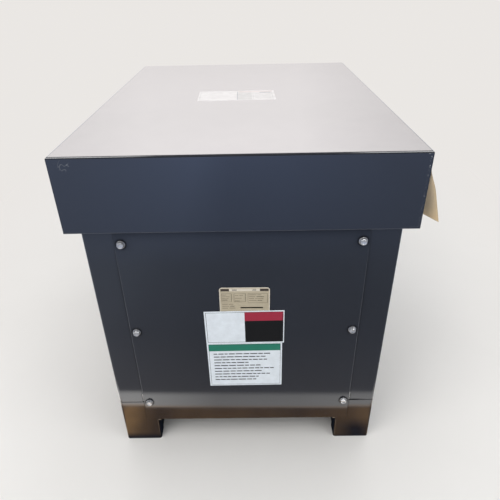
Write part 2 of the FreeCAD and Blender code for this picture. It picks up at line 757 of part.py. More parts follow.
def strap_bolts():
    """Bolts of the straps, with their nuts behind."""
    beyond = light_hex_height + thread_reach
    long = bolt(light_hex, light_hex_height, light_bolt_radius, board_thickness + strap_thickness + beyond)
    short = bolt(light_hex, light_hex_height, light_bolt_radius, clamp_thickness + strap_thickness + beyond)
    on_board = placed(long, Vector(strap_bolt_x, board_front, strap_bolt_z), Vector(0, -1, 0))
    on_clamp = placed(short, Vector(strap_x + strap_thickness, strap_bolt_y, strap_bolt_z), Vector(1, 0, 0))
    return at_both(on_board, "x") + at_both(on_clamp, "x")


def terminal_studs():
    """Studs through the board and the pads, with their heads behind the board."""
    length = board_thickness + bus_thickness + medium_hex_height + stud_projection
    one = bolt(medium_hex, medium_hex_height, medium_bolt_radius, length)
    seats = [Vector(x, board_back, pad_hole_z) for x in pad_hole_x]
    return [copy for seat in seats for copy in at_both(placed(one, seat, Vector(0, 1, 0)), "x")]


def ground_lug():
    """Lug block on the front rail, with a blind wire hole from its right end."""
    lug = block(lug_position - lug_length / 2, lug_position + lug_length / 2, -rail_y - lug_width / 2,
                -rail_y + lug_width / 2, rail_top, rail_top + lug_height)
    wire_start = Vector(lug_position + lug_length / 2 - lug_wire_depth, -rail_y, rail_top + lug_height / 2)
    lug = holes(lug, lug_wire_radius, [wire_start], Vector(lug_wire_depth + 1, 0, 0))
    start = Vector(lug_position, -rail_y, rail_top - 1)
    return holes(lug, light_bolt_radius + hole_clearance, [start], Vector(0, 0, lug_height + 2))


def ground_bolt():
    """Bolt that holds the ground lug on the rail."""
    length = lug_height + rail_thickness + light_hex_height + thread_reach
    one = bolt(light_hex, light_hex_height, light_bolt_radius, length)
    return placed(one, Vector(lug_position, -rail_y, rail_top + lug_height), Vector(0, 0, 1))


# Envelope

def curled(distance):
    """How far a point at a distance past the curl line goes along the cap and out from it."""
    angle = math.radians(curl_angle)
    if distance <= 0:
        return distance, 0.0
    if distance <= curl_radius * angle:
        turn = distance / curl_radius
        return curl_radius * math.sin(turn), curl_radius * (1 - math.cos(turn))
    rest = distance - curl_radius * angle
    along = curl_radius * math.sin(angle) + rest * math.cos(angle)
    out = curl_radius * (1 - math.cos(angle)) + rest * math.sin(angle)
    return along, out


def document_envelope():
    """Paper envelope flat on the cap's right skirt, with its front lower corner curled outwards."""
    face = cap_half_width + envelope_seat
    front = -cap_half_depth + envelope_front_inset
    rear = front + envelope_length
    low = cap_bottom + envelope_bottom_inset
    high = low + envelope_height
    diagonal = math.hypot(curl_length, envelope_height)
    # Unit steps in (Y, Z): across the curl line to the loose corner, and up along the curl line
    across = (-envelope_height / diagonal, -curl_length / diagonal)
    upward = (-curl_length / diagonal, envelope_height / diagonal)
    foot = (front + curl_length, low)

    def pressed(y, z):
        """Place on the skirt of a point of the flat envelope, once curled."""
        dy, dz = y - foot[0], z - foot[1]
        distance = dy * across[0] + dz * across[1]
        height = dy * upward[0] + dz * upward[1]
        along = curled(distance)[0]
        return (foot[0] + along * across[0] + height * upward[0],
                foot[1] + along * across[1] + height * upward[1])

    angle = math.radians(curl_angle)
    end_turn = (curl_radius * math.sin(angle), curl_radius * (1 - math.cos(angle)))
    far = (end_turn[0] + diagonal * math.cos(angle), end_turn[1] + diagonal * math.sin(angle))
    middle = (curl_radius * math.sin(angle / 2), curl_radius * (1 - math.cos(angle / 2)))
    outer = curl_radius - envelope_thickness
    top_end = (outer * math.sin(angle), curl_radius - outer * math.cos(angle))
    top_far = (top_end[0] + diagonal * math.cos(angle), top_end[1] + diagonal * math.sin(angle))
    top_middle = (outer * math.sin(angle / 2), curl_radius - outer * math.cos(angle / 2))

    def section(point, height):
        """Space point of a section point, given as distance past the curl line and distance out."""
        return Vector(face + point[1], foot[0] + point[0] * across[0] + height * upward[0],
                      foot[1] + point[0] * across[1] + height * upward[1])

    start = -2 * envelope_length
    base = -2 * diagonal
    rear_low = section((start, 0), base)
    rear_high = section((start, envelope_thickness), base)
    edges = [Part.LineSegment(rear_low, section((0, 0), base)),
             Part.Arc(section((0, 0), base), section(middle, base), section(end_turn, base)),
             Part.LineSegment(section(end_turn, base), section(far, base)),
             Part.LineSegment(section(far, base), section(top_far, base)),
             Part.LineSegment(section(top_far, base), section(top_end, base)),
             Part.Arc(section(top_end, base), section(top_middle, base),
                      section((0, envelope_thickness), base)),
             Part.LineSegment(section((0, envelope_thickness), base), rear_high),
             Part.LineSegment(rear_high, rear_low)]
    wire = Part.Wire([edge.toShape() for edge in edges])
    rise = section((0, 0), 4 * diagonal) - section((0, 0), 0)
    sheet_of_paper = Part.Face(wire).extrude(rise)

    steps = 4
    down = [pressed(front, high + (low - high) * index / steps) for index in range(steps + 1)]
    back = [pressed(front + curl_length * index / steps, low) for index in range(steps + 1)]
    x = cap_half_width - 1
    front_edge = Part.BSplineCurve()
    front_edge.interpolate([Vector(x, y, z) for y, z in down])
    lower_edge = Part.BSplineCurve()
    lower_edge.interpolate([Vector(x, y, z) for y, z in back])
    outline = [front_edge.toShape(), lower_edge.toShape(),
               Part.LineSegment(Vector(x, back[-1][0], low), Vector(x, rear, low)).toShape(),
               Part.LineSegment(Vector(x, rear, low), Vector(x, rear, high)).toShape(),
               Part.LineSegment(Vector(x, rear, high), Vector(x, down[0][0], high)).toShape()]
    trim = Part.Face(Part.Wire(outline)).extrude(Vector(2 * curl_length, 0, 0))
    return sheet_of_paper.common(trim)


def build():
    """Write every node."""
    os.makedirs("parts", exist_ok=True)
    right_base = base_channel()
    save("base_channel_right", right_base)
    save("base_channel_left", mirrored(right_base, "x"))
    right_side = side_panel()
    save("side_panel_right", right_side)
    save("side_panel_left", mirrored(right_side, "x"))
    panel = front_panel()
    save("front_panel", panel)
    save("rear_panel", mirrored(panel, "y"))
    tie = top_tie()
    save("front_top_tie", tie)
    save("rear_top_tie", mirrored(tie, "y"))
    corners = ("front_right", "rear_right", "front_left", "rear_left")
    for corner, plate in zip(corners, at_corners(foot_plate())):
        save("foot_plate_" + corner, plate)
    for corner, bracket in zip(corners, at_corners(cap_bracket())):
        save("cap_bracket_" + corner, bracket)
    save("top_cap", top_cap())
    save("panel_screws", panel_screws())
    save("bracket_bolts", bracket_bolts())
    save("small_nuts", small_nuts())

    rail = core_rail()
    save("front_core_rail", rail)
    save("rear_core_rail", mirrored(rail, "y"))
    for corner, pad in zip(corners, at_corners(core_isolator())):
        save("core_isolator_" + corner, pad)
    save("isolator_bolts", isolator_bolts())
    save("medium_nuts", medium_nuts())

    lower = clamp(clamp_bottom, True, lower_clamp_top - clamp_thickness)
    save("lower_right_clamp", lower)
    save("lower_left_clamp", mirrored(lower, "x"))
    upper = clamp(upper_clamp_bottom, False, upper_clamp_bottom)
    save("upper_right_clamp", upper)
    save("upper_left_clamp", mirrored(upper, "x"))
    save("bottom_yoke", yoke(yoke_bottom))
    save("top_yoke", yoke(leg_top))
    save("yoke_liners", yoke_liners())
    save("clamp_bolts", clamp_bolts())
    save("tie_rods", tie_rods())
    save("large_nuts", large_nuts())

    for name, y in (("front", -leg_y), ("rear", leg_y)):
        save(name + "_leg_blocks", leg_stack(y))
        save(name + "_coil_former", coil_former(y))
        save(name + "_inner_winding", inner_winding(y))
        save(name + "_outer_winding", outer_winding(y))
    save("gap_spacers", gap_spacers(-leg_y) + gap_spacers(leg_y))
    save("duct_sticks", duct_sticks(-leg_y) + duct_sticks(leg_y))
    save("coil_blocks", coil_blocks())

    save("rear_coil_bar", terminal_bar(leg_y))
    save("front_coil_bar", mirrored(terminal_bar(-leg_y), "x"))
    save("series_link", series_link())
    save("terminal_board", terminal_board())
    strap = board_strap()
    save("right_board_strap", strap)
    save("left_board_strap", mirrored(strap, "x"))
    save("strap_bolts", strap_bolts())
    save("terminal_studs", terminal_studs())
    save("ground_lug", ground_lug())
    save("ground_bolt", ground_bolt())
    save("document_envelope", document_envelope())


build()
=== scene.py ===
import json
import math
import random
from functools import cached_property

import bmesh
import bpy
from mathutils import Matrix, Vector


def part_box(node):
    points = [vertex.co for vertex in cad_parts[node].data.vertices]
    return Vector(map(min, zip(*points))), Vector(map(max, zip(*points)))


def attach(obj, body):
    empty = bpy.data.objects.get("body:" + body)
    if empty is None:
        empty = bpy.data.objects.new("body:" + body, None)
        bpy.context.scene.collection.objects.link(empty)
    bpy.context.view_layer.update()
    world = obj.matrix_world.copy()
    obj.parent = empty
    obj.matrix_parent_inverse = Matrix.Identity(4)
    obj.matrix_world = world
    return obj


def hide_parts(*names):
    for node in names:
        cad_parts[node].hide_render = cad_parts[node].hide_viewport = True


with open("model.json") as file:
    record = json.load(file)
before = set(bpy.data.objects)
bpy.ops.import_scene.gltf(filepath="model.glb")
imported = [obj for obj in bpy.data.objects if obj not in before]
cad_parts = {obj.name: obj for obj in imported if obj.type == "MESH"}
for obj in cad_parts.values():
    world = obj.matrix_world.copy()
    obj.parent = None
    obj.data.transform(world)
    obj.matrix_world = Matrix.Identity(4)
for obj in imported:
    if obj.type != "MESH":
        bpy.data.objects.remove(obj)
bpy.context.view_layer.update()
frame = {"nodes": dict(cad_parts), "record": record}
record = frame["record"]
nodes = frame["nodes"]
random.seed(7)

MM = 0.001


# Places of the built model that materials and added pieces keep to

def screw_places():
    """Middle across, lowest and highest depth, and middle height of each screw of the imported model."""
    source = bmesh.new()
    source.from_mesh(nodes["panel_screws"].data)
    bmesh.ops.remove_doubles(source, verts=source.verts, dist=1e-6)
    seen, places = set(), []
    for start in source.verts:
        if start.index in seen:
            continue
        stack, island = [start], []
        seen.add(start.index)
        while stack:
            vert = stack.pop()
            island.append(vert.co.copy())
            for edge in vert.link_edges:
                other = edge.other_vert(vert)
                if other.index not in seen:
                    seen.add(other.index)
                    stack.append(other)
        low = Vector(min(p[i] for p in island) for i in range(3))
        high = Vector(max(p[i] for p in island) for i in range(3))
        places.append(((low.x + high.x) / 2, low.y, high.y, (low.z + high.z) / 2))
    source.free()
    return sorted(places)


cap_low, cap_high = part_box("top_cap")
panel_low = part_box("front_panel")[0]
side_low, side_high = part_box("side_panel_right")
front_face = panel_low.y
rear_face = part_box("rear_panel")[1].y
panel_bottom = panel_low.z
body_front = side_low.y
half_width, half_depth = side_high.x, side_high.y
return_edge = side_low.x
base_joint = side_low.z
screws_at = screw_places()
screw_x = screws_at[-1][0]
lowest_screw = min(place[3] for place in screws_at)
screw_pitch = (max(place[3] for place in screws_at) - lowest_screw) / 2


# Shader building

class Recipe:
    """Nodes of one material or world under construction: adds them, sets their inputs and links them."""

    def __init__(self, owner, output="OutputMaterial"):
        self.owner = owner
        owner.use_nodes = True
        self.tree = owner.node_tree
        self.tree.nodes.clear()
        self.output = self.node(output)

    def node(self, kind, settings=None, **inputs):
        """New node of a kind. Its inputs are given by name, with underscores in place of spaces."""
        made = self.tree.nodes.new("ShaderNode" + kind)
        for key, value in (settings or {}).items():
            setattr(made, key, value)
        for key, value in inputs.items():
            self.feed(made, key.replace("_", " "), value)
        return made

    def feed(self, made, key, value):
        """Set or link one input, which is named, or counted as in #0."""
        socket = made.inputs[int(key[1:])] if key[0] == "#" else made.inputs[key]
        if isinstance(value, bpy.types.NodeSocket):
            self.tree.links.new(value, socket)
        elif isinstance(value, tuple) and len(value) == 3 and socket.type == "RGBA":
            socket.default_value = (*value, 1.0)
        else:
            socket.default_value = value

    def show(self, shader):
        """Make the shader the surface of the material or world, and give that back."""
        self.feed(self.output, "Surface", shader)
        return self.owner

    def math(self, operation, a, b=0.0, clamp=False):
        made = self.node("Math", {"operation": operation, "use_clamp": clamp})
        self.feed(made, "#0", a)
        self.feed(made, "#1", b)
        return made.outputs[0]

    def plus(self, a, b):
        return self.math("ADD", a, b)

    def minus(self, a, b):
        return self.math("SUBTRACT", a, b)

    def times(self, product, *factors):
        for factor in factors:
            product = self.math("MULTIPLY", product, factor)
        return product

    def larger(self, a, b):
        return self.math("MAXIMUM", a, b)

    def absolute(self, value):
        return self.math("ABSOLUTE", value)

    def distance(self, a, b):
        return self.math("SQRT", self.plus(self.times(a, a), self.times(b, b)))

    def vector(self, operation, a, b, key="#1"):
        made = self.node("VectorMath", {"operation": operation})
        self.feed(made, "#0", a)
        self.feed(made, key, b)
        return made.outputs["Value" if operation == "DOT_PRODUCT" else "Vector"]

    def split(self, vector):
        return self.node("SeparateXYZ", Vector=vector).outputs

    @cached_property
    def coords(self):
        return self.node("TexCoord").outputs["Object"]

    @cached_property
    def axes(self):
        """X, Y and Z of the place in the model."""
        return self.split(self.coords)

    def noise(self, scale, detail=3.0, roughness=0.55, stretch=(1.0, 1.0, 1.0), shift=0.0):
        """Cloudy pattern around 0.5, of a scale in lumps a metre; the shift tells equal patterns apart."""
        place = self.node("Mapping", Vector=self.coords, Scale=stretch,
                          Location=(shift, shift * 0.7, -shift))
        made = self.node("TexNoise", Vector=place.outputs[0], Scale=scale, Detail=detail,
                         Roughness=roughness)
        return made.outputs["Fac"]

    def between(self, value, low, high, start=0.0, end=1.0):
        """Straight change from start at low to end at high, level outside them."""
        made = self.node("MapRange", {"clamp": True}, Value=value, From_Min=low, From_Max=high, To_Min=start,
                         To_Max=end)
        return made.outputs[0]

    def below(self, value, low, high):
        """1 under the low level, falling to 0 at the high one."""
        return self.between(value, low, high, 1.0, 0.0)

    def near(self, value, middle, full, none):
        """1 up to the distance full from the middle, falling to 0 at the distance none."""
        return self.below(self.absolute(self.minus(value, middle)), full, none)

    def ramp(self, value, stops):
        """Colours along a value, with straight fades between stops given in the value's own unit."""
        low, high = stops[0][0], stops[-1][0]
        made = self.node("ValToRGB")
        self.feed(made, "#0", self.between(value, low, high))
        band = made.color_ramp
        while len(band.elements) < len(stops):
            band.elements.new(0.5)
        for element, (place, color) in zip(band.elements, stops):
            element.position = (place - low) / (high - low)
            element.color = (*color, 1.0)
        return made.outputs[0]

    def profile(self, value, stops, most=2.0):
        """Number along a value, from stops of (value, number)."""
        shares = self.ramp(value, [(place, (number / most,) * 3) for place, number in stops])
        return self.times(shares, most)

    def mix(self, factor, a, b, kind="MixRGB"):
        """From a to b as the factor goes from 0 to 1: colours or numbers, or shaders with kind MixShader."""
        made = self.node(kind)
        for key, value in (("#0", factor), ("#1", a), ("#2", b)):
            self.feed(made, key, value)
        return made.outputs[0]

    def edges(self, radius):
        """1 on edges sharper than the radius shows, 0 on open faces, with the rounded normal."""
        rounded = self.node("Bevel", {"samples": 6}, Radius=radius).outputs[0]
        alike = self.vector("DOT_PRODUCT", rounded, self.node("NewGeometry").outputs["Normal"])
        return self.between(alike, 0.982, 0.90), rounded

    def crevices(self, reach, low, high):
        """1 deep in a seam or beside a raised piece, 0 on open faces."""
        shelter = self.node("AmbientOcclusion", {"samples": 4}, Distance=reach)
        return self.below(shelter.outputs["AO"], low, high)

    def upward(self):
        return self.split(self.node("NewGeometry").outputs["Normal"])["Z"]

    def bump(self, height, strength, distance, normal=None):
        made = self.node("Bump", Height=height, Strength=strength, Distance=distance)
        if normal is not None:
            self.feed(made, "Normal", normal)
        return made.outputs[0]

    def finish(self, color, roughness, normal, metallic=0.0, ior=1.5, coat=0.0, coat_roughness=0.05, **more):
        surface = self.node("BsdfPrincipled", Base_Color=color, Roughness=roughness, Normal=normal,
                            Metallic=metallic, IOR=ior, Coat_Weight=coat,
                            Coat_Roughness=coat_roughness, **more)
        return self.show(surface.outputs[0])


def material_recipe(name):
    return Recipe(bpy.data.materials.new(name))


def scaled(color, factor):
    """The colour made lighter or darker, but no channel above 1."""
    return tuple(min(1.0, factor * c) for c in color)


# Enamel of the enclosure

DARK_PAINT = (0.0100, 0.0122, 0.0190)
CHIPPED = (0.34, 0.35, 0.36)
# Painted highlight colour of the panel's lower edge and the feet's inner edges
EDGE_HIGHLIGHT = (0.27, 0.235, 0.19)
DUST = (0.30, 0.29, 0.27)
# Painted shade: the dark that seams, the strip under the cap and the rings round the screws take
SEAM_SHADE = (0.002, 0.002, 0.003)


def corner_chips(r):
    """Small chips along the right end of the cap's front, and a rubbed spot in its upper left corner."""
    x, y, z = r.axes
    front = r.below(y, cap_low.y + 1.3 * MM, cap_low.y + 2.0 * MM)
    inset = r.math("MINIMUM", r.minus(cap_high.x, x), r.minus(cap_high.z, z))
    inset = r.math("MINIMUM", inset, r.minus(z, cap_low.z))
    strip = r.near(inset, 3.1 * MM, 0.3 * MM, 1.0 * MM)
    right_end = r.between(x, cap_high.x - 21.0 * MM, cap_high.x - 9.0 * MM)
    dots = r.between(r.noise(520.0, 2.0, 0.6, shift=8.0), 0.57, 0.63)
    groups = r.between(r.noise(48.0, 2.0, 0.5, shift=12.0), 0.46, 0.58, 0.15, 0.8)
    chips = r.times(strip, right_end, dots, groups)
    away = r.distance(r.minus(x, cap_low.x + 22.0 * MM), r.minus(z, cap_high.z - 11.5 * MM))
    curls = r.near(r.noise(95.0, 1.0, 0.5, shift=6.0), 0.5, 0.006, 0.020)
    rubbed = r.times(curls, 0.35, r.below(away, 5.0 * MM, 9.0 * MM))
    return r.times(r.larger(chips, rubbed), front)


def highlight_hairlines(r):
    """Painted highlight on the lower edge of the front panel and the inner edges of the front feet, clearer
    towards the sides.
    """
    x, y, z = r.axes
    x = r.absolute(x)
    lower = r.times(r.below(z, panel_bottom + 1.0 * MM, panel_bottom + 2.6 * MM),
                    r.between(x, 50.0 * MM, 130.0 * MM, 0.15, 1.0),
                    r.below(x, return_edge - 1.0 * MM, return_edge + 0.5 * MM),
                    r.below(y, front_face + 0.4 * MM, front_face + 0.8 * MM))
    inner = r.times(r.near(x, return_edge + 1.3 * MM, 0.5 * MM, 1.3 * MM),
                    r.below(z, panel_bottom - 1.0 * MM, panel_bottom + 0.5 * MM),
                    r.below(y, body_front + 0.2 * MM, body_front + 1.0 * MM))
    broken = r.between(r.noise(160.0, 3.0, 0.6, shift=11.0), 0.35, 0.6, 0.35, 1.0)
    return r.times(r.larger(lower, inner), broken)


def screw_shade_rings(r):
    """Painted shade: a dark ring round the washer of each panel screw."""
    beside = r.minus(r.absolute(r.axes["X"]), screw_x)
    row = r.math("DIVIDE", r.minus(r.axes["Z"], lowest_screw), screw_pitch)
    row = r.math("FRACT", r.plus(row, 0.5))
    beyond = r.times(r.minus(row, 0.5), screw_pitch)
    return r.times(r.below(r.distance(beside, beyond), 6.8 * MM, 8.8 * MM), 0.55)


def gap_shadow(r):
    """Painted shadow in the joint between side panel and base, beside the lower right screw and fading
    outwards.
    """
    x, y, z = r.axes
    return r.times(r.near(z, base_joint + 1.2 * MM, 1.1 * MM, 2.0 * MM),
                   r.between(x, screw_x - 3.5 * MM, screw_x - 1.5 * MM),
                   r.below(x, screw_x + 22.5 * MM, screw_x + 42.5 * MM),
                   r.below(y, body_front + 3.5 * MM, body_front + 4.0 * MM))


def lower_body(r):
    """1 on the feet and the lower body, nearly 0 close under the cap."""
    return r.between(r.axes["Z"], 0.30, 0.44, 1.0, 0.12)


def seam_shade(r, seams, painted_edge_lines, screwed):
    """Painted shade: 1 in seams and under the cap, round the screws of a screwed panel, and in the joint
    beside one.
    """
    reach, deep, shallow = seams
    under_cap = r.times(r.crevices(28.0 * MM, 0.66, 0.93), r.between(r.axes["Z"], 0.25, 0.35))
    seam = r.larger(r.crevices(reach * MM, deep, shallow), under_cap)
    if screwed:
        return r.larger(seam, screw_shade_rings(r))
    if painted_edge_lines:
        return r.larger(r.times(seam, lower_body(r)), gap_shadow(r))
    return seam


def cut_edge_highlights(r, sharp, painted_edge_lines):
    """Painted highlight on the cut edges above the base, the bends at the body's corners left out."""
    inside = r.below(r.absolute(r.axes["X"]), half_width - 4.5 * MM, half_width - 1.5 * MM)
    over_base = r.between(r.axes["Z"], base_joint + 18.0 * MM, base_joint + 21.0 * MM)
    cut = r.times(sharp, inside, 0.85, over_base)
    return r.times(cut, lower_body(r)) if painted_edge_lines else cut


def edge_on(r):
    """Rises to 1 where an upright flat face is seen almost edge on, so that its gloss ends there."""
    across, along = r.split(r.node("NewGeometry").outputs["Normal"])[:2]
    upright = r.between(r.larger(r.absolute(across), r.absolute(along)), 0.985, 0.995)
    turned = r.node("LayerWeight", Blend=0.5).outputs["Facing"]
    return r.times(upright, r.between(turned, 0.55, 0.80))


def paint(name, color, worn, gloss=0.10, dust=0.15, coat=1.0, peel=0.07, edge=1.2, seams=(4.5, 0.74, 0.985),
          chipped_cap=False, painted_edge_lines=False, screwed=False):
    """Sprayed enamel: orange peel, faint clouding, chips, dust on top, painted highlight on cut edges,
    painted shade in seams.

    The edge's radius and the seams' reach are in mm. The other two numbers of the seams say how open a place
    is where the painted shade is full, and where it ends.
    """
    r = material_recipe(name)
    sharp, rounded = r.edges(edge * MM)
    cloud = r.noise(5.0, 4.0)
    specks = r.between(r.noise(260.0, 2.0, shift=3.0), 0.64, 0.74)
    scratches = r.between(r.noise(26.0, 6.0, 0.62, stretch=(1.0, 1.0, 34.0), shift=1.3), 0.735, 0.76)
    chips = r.between(r.noise(330.0, 5.0, 0.7, shift=5.0), 0.54, 0.62)
    wear = r.times(sharp, chips, r.between(cloud, 0.42, 0.6, 0.1, 0.6))
    if chipped_cap:
        wear = r.larger(wear, corner_chips(r))
    dusty = r.times(r.between(r.upward(), 0.7, 0.98), r.between(r.noise(34.0, 6.0, 0.7), 0.38, 0.8), dust)
    seam = r.times(seam_shade(r, seams, painted_edge_lines, screwed), 0.9)

    shade = r.mix(r.between(cloud, 0.35, 0.7), color, scaled(color, 1.22))
    shade = r.mix(r.times(specks, 0.03), shade, worn)
    shade = r.mix(r.times(scratches, 0.07), shade, worn)
    # Painted highlight along the cut edges
    shade = r.mix(cut_edge_highlights(r, sharp, painted_edge_lines), shade, tuple(0.15 + 4.0 * c for c in color))
    # Painted highlight on the panel's lower edge and the feet's inner edges
    if painted_edge_lines:
        shade = r.mix(r.times(highlight_hairlines(r), 0.8), shade, EDGE_HIGHLIGHT)
    shade = r.mix(wear, shade, worn)
    shade = r.mix(dusty, shade, DUST)
    # Painted shade in the seams, under the cap and round the screws
    shade = r.mix(seam, shade, SEAM_SHADE)

    rough = r.between(r.noise(9.0, 5.0, shift=2.0), 0.3, 0.75, gloss * 0.8, gloss * 1.35)
    rough = r.math("ADD", rough, r.times(r.plus(wear, dusty), 0.35), clamp=True)
    normal = r.bump(r.noise(11.0, 2.0, 0.4, shift=4.0), 0.10, 0.8 * MM, rounded)
    normal = r.bump(r.noise(620.0, 2.0, 0.5), peel, 0.12 * MM, normal)
    normal = r.bump(wear, 0.3, -0.1 * MM, normal)
    open_face = r.times(r.minus(1.0, seam), r.minus(1.0, r.times(sharp, 0.8)), r.minus(1.0, edge_on(r)))
    return r.finish(shade, rough, normal, coat=r.times(open_face, coat), coat_roughness=gloss * 0.35,
                    Specular_IOR_Level=r.times(open_face, 0.5))


# Metals, boards, windings, films and paper

HOLLOW_SHADE = (0.012, 0.012, 0.014)
FILM_SPECK = (0.12, 0.12, 0.12)
PAPER_FLECK = (0.10, 0.055, 0.03)
PAPER_LIGHT_AND_SHEEN = (1.0, 0.86, 0.66)
PAPER_EDGE_SHADE = (0.20, 0.125, 0.07)


def metal(name, color, dark, rough=0.32, grain=(1.0, 1.0, 1.0), scale=180.0, metallic=1.0, tint=0.5,
          clouds=46.0):
    """Plated or bare metal: grain, clouded plating, stains, painted shade in the hollows and brighter edges.
    """
    r = material_recipe(name)
    sharp, rounded = r.edges(0.5 * MM)
    cloud = r.noise(clouds, 5.0, 0.6)
    stain = r.noise(14.0, 6.0, 0.65, shift=2.0)
    shade = r.mix(r.times(r.between(cloud, 0.4, 0.72), tint), color, dark)
    shade = r.mix(r.times(r.between(stain, 0.58, 0.7), tint), shade, dark)
    shade = r.mix(r.times(sharp, 0.5), shade, scaled(color, 1.25))
    # Painted shade in the hollows
    shade = r.mix(r.times(r.crevices(2.6 * MM, 0.62, 0.97), 0.94), shade, HOLLOW_SHADE)
    streak = r.noise(scale, 5.0, 0.6, stretch=grain, shift=1.0)
    roughness = r.between(streak, 0.3, 0.75, rough * 0.75, rough * 1.4)
    roughness = r.math("ADD", roughness, r.times(r.between(stain, 0.55, 0.7), 0.18), clamp=True)
    return r.finish(shade, roughness, r.bump(streak, 0.16, 0.06 * MM, rounded), metallic=metallic)


def board(name, color, dark, rough=0.55, fibre=(1.0, 1.0, 6.0), scale=120.0, coat=0.0):
    """Pressboard, moulded board or rubber: fibres or mottle, softer edges and handling marks."""
    r = material_recipe(name)
    sharp, rounded = r.edges(0.5 * MM)
    mottle = r.noise(22.0, 6.0, 0.6)
    fibres = r.noise(scale, 6.0, 0.7, stretch=fibre, shift=2.0)
    shade = r.mix(r.between(mottle, 0.35, 0.7), color, dark)
    shade = r.mix(r.times(r.between(fibres, 0.55, 0.75), 0.5), shade, dark)
    shade = r.mix(r.times(sharp, 0.35), shade, tuple(min(1.0, 1.3 * c + 0.02) for c in color))
    marks = r.noise(60.0, 4.0, 0.6, shift=6.0)
    roughness = r.between(marks, 0.3, 0.75, rough * 0.85, min(1.0, rough * 1.2))
    normal = r.bump(fibres, 0.25, 0.12 * MM, rounded)
    normal = r.bump(mottle, 0.15, 0.3 * MM, normal)
    return r.finish(shade, roughness, normal, coat=coat, coat_roughness=0.2)


def layered(name, color, line, pitch, axis, rough=0.4, metallic=0.6):
    """Edges of stacked laminations or of wound foil: fine lines across one axis, with varnish over them."""
    r = material_recipe(name)
    sharp, rounded = r.edges(0.6 * MM)
    along = r.plus(r.axes[axis], r.times(r.noise(7.0, 2.0), 0.6 * MM))
    wave = r.math("FRACT", r.math("DIVIDE", along, pitch))
    groove = r.between(r.absolute(r.minus(wave, 0.5)), 0.30, 0.5)
    shade = r.mix(r.between(r.noise(18.0, 5.0), 0.35, 0.7), color, scaled(color, 0.72))
    shade = r.mix(r.times(groove, 0.75), shade, line)
    shade = r.mix(r.times(sharp, 0.3), shade, scaled(color, 1.4))
    drips = r.noise(30.0, 4.0, stretch=(1.0, 1.0, 0.2), shift=3.0)
    roughness = r.between(drips, 0.3, 0.7, rough * 0.6, rough * 1.5)
    normal = r.bump(groove, 0.35, -0.25 * MM, rounded)
    normal = r.bump(drips, 0.2, 0.5 * MM, normal)
    return r.finish(shade, roughness, normal, metallic=metallic, coat=0.5, coat_roughness=0.25)


def print_film(name, color, gloss=0.32, speckle=0.05, coat=0.2, shine=0.5):
    """Printed film of a label: even colour with faint mottling, a soft sheen and slight ripples."""
    r = material_recipe(name)
    mottle = r.noise(70.0, 5.0, 0.6)
    fine = r.noise(900.0, 2.0, 0.6, shift=2.0)
    shade = r.mix(r.between(mottle, 0.35, 0.7), color, scaled(color, 1.0 - 2.5 * speckle))
    shade = r.mix(r.times(r.between(fine, 0.6, 0.75), speckle), shade, FILM_SPECK)
    roughness = r.between(mottle, 0.3, 0.7, gloss * 0.85, gloss * 1.3)
    normal = r.bump(r.noise(18.0, 3.0, shift=5.0), 0.12, 0.3 * MM)
    normal = r.bump(fine, 0.08, 0.03 * MM, normal)
    return r.finish(shade, roughness, normal, coat=coat, coat_roughness=0.15, Specular_IOR_Level=shine)


def kraft(name, color, dark):
    """Unbleached envelope paper: long fibres, flecks, faint creases, painted light where sheltered and
    painted shade at its edges.
    """
    r = material_recipe(name)
    rim_shade = r.edges(1.3 * MM)[0]
    cloud = r.noise(16.0, 6.0, 0.6)
    fibres = r.noise(420.0, 6.0, 0.75, stretch=(1.0, 1.0, 4.0), shift=1.0)
    flecks = r.noise(900.0, 3.0, 0.7, stretch=(1.0, 0.35, 1.0), shift=7.0)
    shade = r.mix(r.between(cloud, 0.3, 0.75), color, dark)
    shade = r.mix(r.times(r.between(fibres, 0.5, 0.75), 0.35), shade, dark)
    shade = r.mix(r.times(r.between(flecks, 0.66, 0.74), 0.5), shade, PAPER_FLECK)
    # Painted light where the paper lies close to the cap or another sheet
    shade = r.mix(r.times(r.crevices(25.0 * MM, 0.25, 0.85), 0.9), shade, PAPER_LIGHT_AND_SHEEN)
    # Painted shade along the paper's edges
    shade = r.mix(r.times(rim_shade, 0.7), shade, PAPER_EDGE_SHADE)
    crease = r.between(r.noise(24.0, 2.0, 0.4, stretch=(1.0, 1.0, 0.3), shift=9.0), 0.49, 0.51)
    normal = r.bump(cloud, 0.2, 0.6 * MM)
    normal = r.bump(crease, 0.10, 0.15 * MM, normal)
    normal = r.bump(fibres, 0.3, 0.05 * MM, normal)
    return r.finish(shade, r.between(fibres, 0.3, 0.7, 0.72, 0.92), normal, ior=1.35, Sheen_Weight=0.5,
                    Sheen_Roughness=0.5, Sheen_Tint=PAPER_LIGHT_AND_SHEEN)


